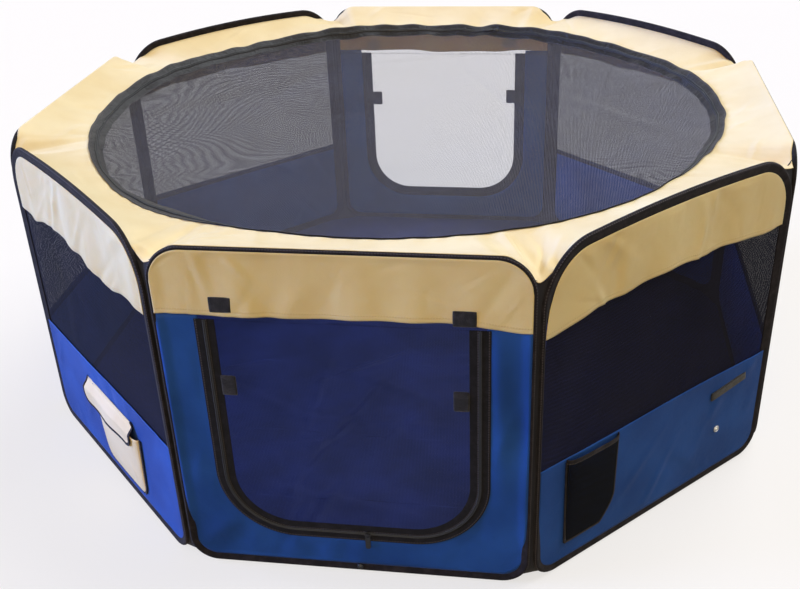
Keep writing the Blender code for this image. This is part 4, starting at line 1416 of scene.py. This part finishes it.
@dataclass
class TopCover:
    """The cream ring between the loops and the lid's zip, the zip, and the net lid."""

    radius: float = 0.604
    level: float = 0.567
    tape: float = 0.016
    tape_thickness: float = 0.0010
    coil: Pair = (0.0034, 0.0026)  # width and height of one half's turns
    coil_pitch: float = 0.0034
    thickness: float = 0.0009
    ring_size: Pair = (0.58, 0.145)
    pack_y: float = 0.596  # where the lid lies between two layers of the folded walls
    sag: float = 0.012
    pulls: tuple = (  # folds dragged from the front right notch: place, lean, width, rise and length
        ((0.319, -0.650), -0.37, 0.0050, -0.0052, 0.036),
        ((0.302, -0.646), -0.30, 0.0060, 0.0046, 0.040),
        ((0.288, -0.642), -0.05, 0.0050, -0.0048, 0.034),
        ((0.346, -0.652), -0.62, 0.0060, -0.0044, 0.050),
        ((0.268, -0.655), 0.45, 0.0070, 0.0036, 0.040),
    )

    def puckers(self, turn: Array, seed: int, least: int, most: int) -> Array:
        """Small uneven waves round the circle: nine sines of whole numbers of turns, their sizes and starts
        picked by a seed; they are low at the front, where the zip is pulled straight."""
        pick = np.random.default_rng(seed)
        total = np.zeros(np.shape(turn))
        for number in pick.choice(np.arange(least, most), 9, replace=False):
            total += pick.uniform(0.3, 1.0) * sin(number * turn + pick.uniform(0, 2 * pi))
        return total / 2.2 * (0.3 + 0.7 * smooth_step((1 + sin(turn)) / 1.1))

    def wobble(self, turn: Array) -> Array:
        """How far the zip's circle strays outwards at an angle: two sines and puckers."""
        waves = 0.0026 * sin(5 * turn + 0.4) + 0.0012 * sin(8 * turn + 1.9)
        return waves + 0.0010 * self.puckers(turn, 7, 11, 46)

    def height(self, turn: Array) -> Array:
        """The zip's height at an angle: it hangs slack, lower at the middle of each wall, with puckers."""
        slack = -0.0020 * cos(8 * (turn + pi / 2)) + 0.0012 * sin(7 * turn + 0.6)
        return self.level + slack + 0.0012 * self.puckers(turn, 5, 12, 60)

    def tilt(self, turn: Array) -> Array:
        """The tape's slope down into the pen, in radians: steep, because the lid hangs from it, flatter
        over the front left corner, and uneven where it puckers."""
        flat = exp(-(((np.mod(turn, 2 * pi) - math.radians(236)) / 0.24) ** 2))
        return 0.74 - 0.50 * flat + 0.10 * sin(7 * turn + 0.3) + 0.12 * self.puckers(turn, 6, 9, 58)

    def beside(self, turn: Array, across: Array | float, above: Array | float) -> Array:
        """Points beside the zip's middle line.

        Args:
            turn: angles about the pen.
            across: outwards along the tape's slope.
            above: square to the tape.

        Returns:
            Points, coordinates last.
        """
        slope = self.tilt(turn)
        reach = self.radius + self.wobble(turn) + across * cos(slope) - above * sin(slope)
        up = self.height(turn) + across * sin(slope) + above * cos(slope)
        return stack([reach * cos(turn), reach * sin(turn), up], -1)

    def sweep(self, turn: Array, profile: Array, swell: Array, closed: bool, finish: int) -> Patch:
        """Carries a closed profile round the zip's circle, its first coordinate across and its second above.

        Args:
            turn: angles.
            profile: points by 2.
            swell: a factor on the profile about its middle at each angle.
            closed: the last angle joins the first.
            finish: which finish.

        Returns:
            The patch.
        """
        middle = profile.mean(0)
        across = middle[0] + (profile[None, :, 0] - middle[0]) * swell[:, None]
        above = middle[1] + (profile[None, :, 1] - middle[1]) * swell[:, None]
        points = self.beside(turn[:, None] + 0 * across, across, above)
        lengths = concatenate([turn, [turn[0] + 2 * pi]]) if closed else turn
        uv = grid_uv(lengths * self.radius, arc_lengths(profile, closed=True))
        return Patch(points, uv, closed_rows=closed, closed_cols=True, finish=finish)

    def zip_half(self, turn: Array, way: float, closed: bool = False) -> list[Patch]:
        """One half of the zip: a flat tape, and the coil at its edge with four steps to each turn.

        Args:
            turn: angles.
            way: 1 for the ring's half, and -1 for the lid's.
            closed: the last angle joins the first.

        Returns:
            The tape and the coil.
        """
        edge = np.array([way * (self.tape / 2 + 0.0006), 0.0006])
        tape = flat_profile(self.tape, self.tape_thickness) + edge
        coil = coil_profile(*self.coil) + np.array([way * 0.0016, 0.0018])
        swell = coil_swell(turn * self.radius, self.coil_pitch)
        flat = self.sweep(turn[::4], tape, np.ones(len(turn[::4])), closed, 0)
        return [flat, self.sweep(turn, coil, swell, closed, 1)]

    def edge(self, side: Side) -> tuple[Array, Array]:
        """The ring's outer edge on one wall and its angle about the pen: on the crown of a piped loop, or
        inside the wire of a taped one, and down to the next wall's edge at the notches."""
        wall = Wall(side)
        seat = 0.0012 if side.piped else -0.0022
        at_corner = -0.0048
        a = crowded(129, 1.7)
        end = (PEN.inradius + at_corner) * math.tan(SIXTEENTH)
        corners = ((side.value - 1) % 8, side.value)
        notch = [GUSSET_TOP.get(corner, GUSSET_TOP_ELSEWHERE) for corner in corners]
        u = a * end
        floor = np.where(a < 0, notch[0], notch[1])
        share = smooth_step((np.abs(u) - (PEN.half - 0.055)) / 0.035)
        n = seat + (at_corner - seat) * share
        inset = -sqrt(clip(PEN.tube**2 - n**2, 0, None)) - 0.0010 if side.piped else 0.0100
        line = wall.top_line(u, inset)
        soft = 0.0025
        z = floor + soft * np.logaddexp(0, (line - floor) / soft)
        z = np.where(np.abs(a) > 0.999, floor, z)
        level = wall.end_line(floor)
        z = z - NOTCH_DIP * sin(pi / 2 * clip((np.abs(u) - level) / (end - level), 0, 1))
        points = wall.place(u, n, z, bowed=False)
        angle = wall.turn - pi / 2 + np.arctan2(u, PEN.inradius + n)
        angle[0], angle[-1] = (wall.turn - pi / 2 + SIXTEENTH * s for s in (-1, 1))
        return points, angle

    def ring(self, side: Side) -> None:
        """One wall's share of the cream ring: straight lines from its edge in to the zip, with creases that
        fan out from the notches and puckers along the zip."""
        edge, angle = self.edge(side)
        inner = self.beside(angle, self.tape - 0.003, -0.0010)
        t = linspace(0, 1, 49)[:, None, None]
        points = edge[None] * (1 - t) + inner[None] * t
        from_middle = np.abs(angle - (Wall(side).turn - pi / 2)) / SIXTEENTH
        at_notch = exp(-(((1 - from_middle) / 0.20) ** 2))
        share = t[..., 0]
        rows = smooth_step(share / 0.15) * smooth_step((1 - share) / 0.12)
        rays = sin(47 * angle + 2 * side.value) + 0.6 * sin(83 * angle + 3.1 * side.value)
        pulled = 1 + 1.3 * exp(-(((angle + 3 * SIXTEENTH) / 0.2) ** 2))
        fan = 0.0044 * pulled * rays * at_notch * exp(-share * 1.2)
        sag = -0.0035 * sin(pi * share) * (1 - at_notch)
        x, y = points[..., 0], points[..., 1]
        lines = creases(x, y, 311 + side.value, 12, 0.007, 0.0024, 0.05, (0.0, pi))
        at_zip = share**4 * smooth_step((1 - share) / 0.05)
        pucker = 0.0009 * sin(110 * angle + sin(9 * angle)) * at_zip
        ends = smooth_step((1 - from_middle) / 0.05)
        dragged = sum(ridge(x, y, *pull) for pull in self.pulls)
        points[..., 2] += rows * (fan * ends + sag + lines * ends + dragged) + pucker
        patch = Patch(points, paired_uv(angle[None] * 0.66, (1 - share) * 0.09))
        node = ("top_ring",) if side is Side.BACK else ()
        piece = make_piece(f"ring_cloth_{side.word}", [patch], [CREAM], node, self.thickness)
        Wall(side).squash(piece)
        size, area = self.ring_size, patch.cloth_area(self.ring_size)

    def ring_zip(self, side: Side) -> None:
        """The ring's half of the zip over one wall."""
        middle = Wall(side).turn - pi / 2
        steps = 4 * round(2 * SIXTEENTH * self.radius / self.coil_pitch) + 1
        patches = self.zip_half(linspace(middle - SIXTEENTH, middle + SIXTEENTH, steps), 1.0)
        name, node = f"ring_zip_{side.word}", ("lid_zip_tape",) if side is Side.BACK else ()
        piece = make_piece(name, patches, [LID_ZIP_TAPE, COIL], node, solid=True)
        Wall(side).squash(piece)

    def lid(self) -> None:
        """The net lid and its half of the zip. The net hangs slack: it sags with the square of the distance
        from its edge, and slanting folds cross it."""
        turn = linspace(0, 2 * pi, 241)[:-1]
        share = (linspace(0.0, 1.0, 81) ** 0.85)[None, :]
        rim = self.beside(turn, 0.003 - self.tape, -0.0008)
        middle = rim[:, 2].mean()
        x, y = rim[:, :1] * share, rim[:, 1:2] * share
        folds = 0.0030 * sin(9 * x + 13 * y) + 0.0020 * sin(21 * x - 11 * y + 1)
        held = smooth_step((1 - share) / 0.15)
        level = middle + (rim[:, 2:] - middle) * share**6 - self.sag * (1 - share**2)
        z = level + held * (folds + creases(x, y, 401, 18, 0.014, 0.0050, 0.24, (0.0, pi)))
        points = stack([x, y, z], -1)
        uv = concatenate([points[..., :2], points[:1, :, :2]])
        patch = Patch(points, uv, closed_rows=True)
        net = make_piece("lid_net_sheet", [patch], [LID_NET], ("lid_net",))
        self.move_lid(net)
        steps = 4 * round(2 * pi * self.radius / self.coil_pitch)
        patches = self.zip_half(linspace(0, 2 * pi, steps, endpoint=False), -1.0, closed=True)
        half = make_piece("lid_zip_half", patches, [LID_ZIP_TAPE, COIL], solid=True)
        self.move_lid(half)

    def move_lid(self, piece: bpy.types.Object) -> None:
        """Rides on the lid, with a mesh of its own."""
        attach(piece, "lid")
        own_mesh(piece)

    def build(self) -> None:
        """Makes the ring, the zip and the lid."""
        for side in Side:
            self.ring(side)
            self.ring_zip(side)
        self.lid()


@dataclass
class FloorCloth:
    """The sewn-in floor, in one gore for each wall so that it can follow the walls as they fold. It has no
    thickness, whose rim would show as a line where two gores meet."""

    ease: float = 0.90  # share of the way out where a gore starts to rise to its wall
    level: float = 0.0018
    size: Pair = (0.58, 0.70)

    def build(self) -> None:
        """Each gore is straight lines from the pen's middle to its wall's foot, which rises in the notches
        and cuts their corner at the gusset; low creases run across it."""
        for side in Side:
            wall = Wall(side)
            slope = math.tan(SIXTEENTH)
            start = float(wall.end_line(np.array(GUSSET_FOOT)))
            u = linspace(-1, 1, 65) * (slope * (PEN.inradius + 0.001 + start * slope) / (1 + slope**2))
            past = np.abs(u) - start
            n = -0.003 + 0.004 * smooth_step(past / 0.006 + 1) - slope * clip(past, 0, None)
            z = wall.foot_line(u, 0.0, GUSSET_FOOT) - 0.001
            t = (linspace(0, 1, 73) ** 0.8)[:, None, None]
            points = wall.place(u, n, z, bowed=False)[None] * t
            share = t[..., 0]
            rise = smooth_step((share - self.ease) / (1 - self.ease))
            points[..., 2] = self.level + (z[None] - self.level) * rise
            x, y = points[..., 0], points[..., 1]
            low = 0.0040 * (1 + sin(13 * x + 9 * y) * sin(8 * y - 5 * x)) / 2
            folds = creases(x, y, 501, 60, 0.011, 0.0034, 0.12, (0.0, pi), reach=0.62)
            points[..., 2] += smooth_step((1 - share) / 0.1) * (low + np.abs(folds))
            patch = Patch(points, points[..., :2].copy()).flipped()
            node = ("floor_mat",) if side is Side.BACK else ()
            # The gore's cloth is painted darker than the walls' blue: painted shade inside the pen.
            piece = make_piece(f"floor_cloth_{side.word}", [patch], [FLOOR_BLUE_SHADED], node)
            wall.squash(piece)
            patch.area()


def ribbon(points: Array, outward: Array, width: float, thickness: float) -> Patch:
    """A folded tape along a line in space: an oval section, square to the line and flat against outward.

    Args:
        points: points by 3.
        outward: the direction of its thickness, by 3.
        width: of the tape.
        thickness: of the tape.

    Returns:
        The patch, open at its ends.
    """
    along = np.gradient(points, axis=0)
    along /= np.linalg.norm(along, axis=1, keepdims=True)
    aside = np.cross(along, outward)
    aside /= np.linalg.norm(aside, axis=1, keepdims=True)
    out = np.cross(aside, along)
    profile = flat_profile(width, thickness, 14)
    places = points[:, None] + aside[:, None] * profile[None, :, :1] + out[:, None] * profile[None, :, 1:]
    return Patch(places, grid_uv(arc_lengths(points), arc_lengths(profile, closed=True)), closed_cols=True)


@dataclass
class BottlePocket:
    """The cream pocket on the front left wall, with its loose flap; both edged in black tape."""

    side: Side = Side.FRONT_LEFT
    centre: float = 0.0475
    low: float = 0.032
    width: float = 0.185
    height: float = 0.130
    depth: float = 0.0085
    taper: float = 0.012
    seat: float = 0.0030
    flap_centre: float = 0.0175
    flap_width: float = 0.205
    flap_top: float = 0.186
    flap_drop: float = 0.048

    def half_width(self, b: Array) -> Array:
        """Half the pocket's width at a share of its height: tapered, with rounded foot corners."""
        foot = clip(1 - b / 0.16, 0, 1)
        return self.width / 2 - self.taper * (1 - b) - 0.010 * foot**2

    def pouch(self, a: Array, b: Array) -> tuple[Array, Array, Array]:
        """The pouch: full across its front and rounded down to the wall at its sides and foot."""
        u = self.centre + a * self.half_width(b)
        z = self.low + b * self.height + 0 * a
        full = self.depth * (0.62 + 0.38 * b) * (1 - (1 - b) ** 7) ** 0.5
        n = self.seat + full * (1 - np.abs(a) ** 6) ** 0.42
        n = n + 0.0014 * sin(34 * u + 18 * z) * (1 - a**4) * (1 - (1 - b) ** 3)
        return u, n, z

    def body(self) -> None:
        """The pouch and the tape on its sides and foot."""
        wall = Wall(self.side)
        a = crowded(65, 1.8)[None, :]
        b = (linspace(0, 1, 49) ** 1.3)[:, None]
        u, n, z = self.pouch(a, b)
        soft = (1 - a**4) * smooth_step(b / 0.2)
        n = n + soft * creases(u, z, 601, 9, 0.007, 0.0016, 0.03, (-1.4, 1.4))
        cloth = wall.sheet(u, n, z, paired_uv(u, z - self.low))
        node = ("bottle_pocket",)
        piece = make_piece("bottle_pocket_cloth", [cloth], [CREAM], node, CLOTH_THICKNESS)
        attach(piece, self.side.word)
        share = linspace(0.02, 1, 60)
        seat = self.seat + 0.0006
        edges = []
        for way, inset, tape in ((-1.0, 0.0015, 0.005), (1.0, 0.0025, 0.0072)):
            u = self.centre + way * (self.half_width(share) + inset)
            line = wall.place(u, seat + 0 * u, self.low + share * self.height)
            edges.append(ribbon(line, wall.outward, tape, 0.0016))
        u, n, z = self.pouch(linspace(-0.93, 0.93, 80), np.full(80, 0.03))
        line = wall.place(u, seat + 0 * u, z - 0.0035)
        edges.append(ribbon(line, wall.outward, 0.005, 0.0016))
        trim = make_piece("bottle_pocket_trim", edges, [TRIM], solid=True)
        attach(trim, self.side.word)

    def flap_shape(self, a: Array, b: Array) -> tuple[Array, Array, Array]:
        """The flap: it leaves the wall at its top edge, stands out over the pouch's mouth and hangs down.

        Args:
            a: places across, from -1 to 1.
            b: places down, from 0 to 1.

        Returns:
            Its u, n and z.
        """
        mouth = self.flap_top - (self.low + self.height)
        down = self.flap_drop * b
        half = self.flap_width / 2
        for gap, radius in ((self.flap_drop - down, 0.019), (down, 0.012)):
            near = clip(1 - gap / radius, 0, 1)
            half = half - radius * (1 - sqrt(clip(1 - near**2, 0, 1)))
        u = self.flap_centre + a * half
        n = self.seat + 0.0004 + (self.depth + 0.0022) * smooth_step((down - 0.006) / (mouth - 0.006))
        n = n + 0.0018 * sin(27 * u + 0.5) * b + 0.0010 * sin(61 * u) * b
        return u, n, self.flap_top - down + 0.0015 * sin(22 * u) * b

    def flap(self) -> None:
        """The flap and the tape on three of its sides."""
        wall = Wall(self.side)
        u, n, z = self.flap_shape(linspace(-1, 1, 65)[None, :], (1 - linspace(0, 1, 33))[:, None])
        patch = wall.sheet(u, n, z, paired_uv(u, self.flap_top - z))
        node = ("bottle_flap",)
        piece = make_piece("bottle_flap_cloth", [patch], [CREAM], node, CLOTH_THICKNESS)
        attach(piece, "bottle_flap")
        down = linspace(0.02, 1, 50)
        across = concatenate([np.full(50, -1.0), linspace(-1, 1, 92)[1:-1], np.full(50, 1.0)])
        line = wall.place(*self.flap_shape(across, concatenate([down, np.ones(90), down[::-1]])))
        edge = ribbon(line, wall.outward, 0.0062, 0.0020)
        trim = make_piece("bottle_flap_trim", [edge], [TRIM], solid=True)
        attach(trim, "bottle_flap")

    def build(self) -> None:
        """Makes the pocket and its flap."""
        self.body()
        self.flap()


@dataclass
class FrontRightFittings:
    """The net pocket, the closing patch and the snap on the front right wall."""

    side: Side = Side.FRONT_RIGHT
    centre: float = -0.1675
    low: float = 0.050
    width: float = 0.115
    height: float = 0.168
    depth: float = 0.0098
    seat: float = 0.0030
    cut: float = 0.030  # width of the round cut at its right foot corner
    slant: float = 0.004

    def edges(self, b: Array) -> tuple[Array, Array]:
        """How far the pocket reaches left and right of its middle at a share of its height."""
        cut = self.cut * clip(1 - b / 0.30, 0, 1) ** 1.6
        return self.width / 2 - self.slant * (1 - b), self.width / 2 - cut

    def pocket(self) -> None:
        """A net patch pocket, slack at its mouth and sewn at its sides and foot, one corner cut round."""
        wall = Wall(self.side)
        a = crowded(57, 1.6)[None, :]
        b = (linspace(0, 1, 57) ** 1.2)[:, None]
        left, right = self.edges(b)
        u = self.centre + np.where(a < 0, a * left, a * right)
        z = self.low + b * self.height + 0 * a
        full = self.depth * (0.45 + 0.55 * b**1.5) * (1 - (1 - b) ** 6) ** 0.5
        round_off = (1 - np.abs(a) ** 5) ** 0.5
        patch = wall.sheet(u, self.seat + 0.0002 + full * round_off, z)
        net = make_piece("net_pocket_sheet", [patch], [POCKET_NET], ("net_pocket",))
        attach(net, self.side.word)
        size = (self.width + 2 * self.depth, self.height + self.depth)
        area, ground = patch.cloth_area(size), (f"band_cloth_{self.side.word}",)
        b = linspace(0, 1, 70)
        left, right = self.edges(b)
        seat, half = self.seat + 0.0006, self.width / 2
        foot = self.centre + linspace(self.slant - half, half - self.cut, 40)
        lines = [(self.centre - left, b), (self.centre + right, b), (foot, 0 * foot)]
        places = [wall.place(u, seat + 0 * u, self.low + share * self.height) for u, share in lines]
        trims = [ribbon(line, wall.outward, 0.0055, 0.0015) for line in places]
        a, mouth = a[0], self.seat + 0.0002 + self.depth * round_off[0]
        line = wall.place(self.centre + a * self.width / 2, mouth, self.low + self.height + 0 * a)
        trims.append(ribbon(line, wall.outward, 0.009, 0.0016))
        trim = make_piece("net_pocket_trim", trims, [TRIM], solid=True)
        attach(trim, self.side.word)

    def build(self) -> None:
        """Makes the pocket and the patch, and dresses the snap."""
        self.pocket()
        strip = Pad(
            Wall(self.side), (0.179, 0.187), (0.098, 0.017), 0.0020, self.seat - 0.0004, math.radians(6)
        )
        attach(strip.build("closure_strip", ("closure_patch",)), self.side.word)
        dress_node("snap", NICKEL)


@dataclass
class SmallFittings:
    """The dark snap on the front foot, and the lid's slider."""

    snap_u: float = 0.006
    snap_radius: float = 0.0055
    # The snap's outline: shares of its radius, and heights.
    snap_reach: tuple[float, ...] = (0.0, 0.25, 0.48, 0.60, 0.70, 0.88, 1.0, 1.0, 0.0)
    snap_rise: tuple[float, ...] = (0.0024, 0.0023, 0.0019, 0.0013, 0.0014, 0.0013, 0.0007, 0.0, 0.0)

    def snap(self) -> None:
        """A turned button: a dome on a low rim, its section carried round the axis."""
        turn = linspace(0, 2 * pi, 33)[:-1, None]
        outline = stack([self.snap_reach, self.snap_rise], -1)
        steps = arc_lengths(outline)
        fine = linspace(0, steps[-1], 40)
        reach = np.interp(fine, steps, outline[:, 0])[None, :] * self.snap_radius
        u = self.snap_u + reach * cos(turn)
        z = PEN.foot + 0.004 + reach * sin(turn)
        n = 0.0036 + np.interp(fine, steps, outline[:, 1])[None, :] + 0 * u
        points = Wall(Side.FRONT).place(u, n, z, bowed=False)
        patch = Patch(points, grid_uv(linspace(0, 0.03, 33), fine), closed_rows=True)
        piece = make_piece("foot_snap", [patch], [SLIDER_ENAMEL], solid=True)
        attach(piece, Side.FRONT.word)

    def lid_slider(self) -> None:
        """The lid's slider on its slack zip, with its bridge and pull: each an oval section whose size
        changes along its length."""
        lowest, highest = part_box("lid_slider")
        angle = math.atan2(lowest.y + highest.y, lowest.x + highest.x)
        cover, turn = TopCover(), np.array([angle])
        seat = cover.beside(turn, 0.0, 0.0018)[0]
        across = cover.beside(turn, 1.0, 0.0018)[0] - seat
        along = np.array([-math.sin(angle), math.cos(angle), 0.0])
        up = np.cross(across, along)
        share = linspace(0, 1, 30)
        ends = sqrt(clip(1 - np.abs(2 * share - 1) ** 6, 0.0, 1))
        tip = sqrt(clip(1 - clip((share - 0.86) / 0.14, 0, 1) ** 2, 0, 1))
        tongue = (0.3 + 0.7 * smooth_step((share - 0.1) / 0.5)) * tip
        bridge = 0.0026 + 0.0024 * sin(pi * share)
        parts = (  # place along, width, thickness and height
            (-0.0055 + 0.011 * share, 0.0090 * ends * (1 - 0.25 * share), 0.0042 * ends, 0.0 * share),
            (-0.0035 + 0.0075 * share, 0.0030 * ends, 0.0014 * ends, bridge),
            (0.0010 + 0.0310 * share, 0.0085 * tongue, 0.0014 * ends**0.3, 0.0040 - 0.0030 * share),
        )
        section = flat_profile(1.0, 1.0, 16)
        round_uv = arc_lengths(section, closed=True) * 0.005
        patches = []
        for way, width, thick, lift in parts:
            over = lift[:, None] + section[None, :, 1] * thick[:, None]
            aside = section[None, :, 0] * width[:, None]
            points = seat + way[:, None, None] * along + over[..., None] * up + aside[..., None] * across
            patches.append(Patch(points, grid_uv(way, round_uv), closed_cols=True))
        piece = make_piece(
            "lid_zip_slider", patches, [SLIDER_ENAMEL], ("lid_slider",), solid=True
        )
        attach(piece, "lid_slider")

    def build(self) -> None:
        """Makes both."""
        self.snap()
        self.lid_slider()


def axes_matrix(x: Array, y: Array, z: Array, place: Array) -> Matrix:
    """The placement of a lamp or camera from its three axes and its place."""
    return Matrix([(x[i], y[i], z[i], place[i]) for i in range(3)] + [(0, 0, 0, 1)])


@dataclass(frozen=True)
class SunLamp:
    """A broad lamp far away: where it shines from, and the light that it gives a surface that faces it."""

    name: str
    towards: tuple[float, float, float]
    light: tuple[float, float, float]
    spread: float

    def build(self) -> None:
        """Makes the lamp; a strength of pi lights a white surface to white."""
        data = bpy.data.lights.new(self.name, "SUN")
        most = max(self.light)
        data.color = tuple(c / most for c in self.light)
        data.energy = pi * most
        data.angle = math.radians(self.spread)
        way = np.array(self.towards) / np.linalg.norm(self.towards)
        aside = np.cross([0.0, 0.0, 1.0], way)
        aside /= np.linalg.norm(aside)
        link_object(self.name, data).matrix_world = axes_matrix(aside, np.cross(way, aside), way, way * 4)


@dataclass
class Studio:
    """A plain pale floor, soft lamps and the camera at the photograph's angle."""

    eye: tuple[float, float, float] = (0.3017, -1.9782, 1.2479)
    yaw: float = -9.349
    pitch: float = 28.902
    roll: float = -2.342
    lens: float = 46.77
    ambient: str = "#8c8b8a"
    lamps: tuple[SunLamp, ...] = (
        SunLamp("window_left", (-0.95, -0.05, 0.15), (0.72, 1.04, 2.25), 40),
        SunLamp("room_front", (0.06, -0.86, 0.50), (0.43, 0.31, 0.125), 60),
        SunLamp("ceiling", (0.45, 0.45, 0.77), (0.74, 0.80, 0.86), 50),
    )

    def camera(self) -> None:
        """Turns yaw, pitch and roll into the camera's axes."""
        yaw, pitch, roll = (math.radians(x) for x in (self.yaw, self.pitch, self.roll))
        level = (math.sin(yaw) * math.cos(pitch), math.cos(yaw) * math.cos(pitch))
        ahead = np.array([*level, -math.sin(pitch)])
        right = np.cross(ahead, [0, 0, 1.0])
        right /= np.linalg.norm(right)
        up = np.cross(right, ahead)
        x_axis = math.cos(roll) * right + math.sin(roll) * up
        y_axis = math.cos(roll) * up - math.sin(roll) * right
        data = bpy.data.cameras.new("photo_camera")
        data.lens = self.lens
        data.sensor_width = 36.0
        data.clip_start, data.clip_end = 0.05, 60.0
        item = link_object("photo_camera", data)
        item.matrix_world = axes_matrix(x_axis, y_axis, -ahead, self.eye)
        bpy.context.scene.camera = item

    def world(self) -> None:
        """White where it is seen, and a dim even light on the object."""
        world = bpy.data.worlds.new("studio")
        bpy.context.scene.world = world
        world.use_nodes = True
        tree = world.node_tree
        tree.nodes.clear()
        tones = {0: seen(tree), 6: linear(self.ambient), 7: linear("#ffffff")}
        colour = add_node(tree, "Mix", tones, data_type="RGBA")
        shader = add_node(tree, "Background", {"Color": colour, "Strength": 1.0})
        add_node(tree, "OutputWorld", {"Surface": shader})

    def floor(self) -> None:
        """A round floor that keeps a light shadow, and throws little light back up on the walls."""
        turn = linspace(0, 2 * pi, 97)[:-1, None]
        reach = np.array([[0.0, 0.5, 1.2, 3.0, 8.0, 20.0]])
        x, y = reach * cos(turn), reach * sin(turn)
        points = stack([x, y, 0 * x - 0.0004], -1)
        corners, _ = Patch(points, np.zeros((97, 6, 2)), closed_rows=True).faces()
        mesh = bpy.data.meshes.new("studio_floor")
        mesh.from_pydata(points.reshape(-1, 3).tolist(), [], corners.tolist())
        mesh.materials.append(FLOOR_PAINT.material())
        link_object("studio_floor", mesh)

    def build(self) -> None:
        """Makes the camera, world, floor and lamps."""
        bpy.context.scene.view_settings.view_transform = "Standard"
        self.camera()
        self.world()
        self.floor()
        for lamp in self.lamps:
            lamp.build()


def main() -> None:
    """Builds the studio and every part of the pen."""
    logging.basicConfig(level=logging.INFO, format="%(name)s: %(message)s")
    Studio().build()
    LoopTape().build()
    Valance().build()
    PlainWall().build()
    for side in (Side.FRONT, Side.BACK):
        DoorWall(side).build()
    CornerGussets().build()
    TopCover().build()
    FloorCloth().build()
    BottlePocket().build()
    FrontRightFittings().build()
    SmallFittings().build()


if __name__ == "__main__":
    main()
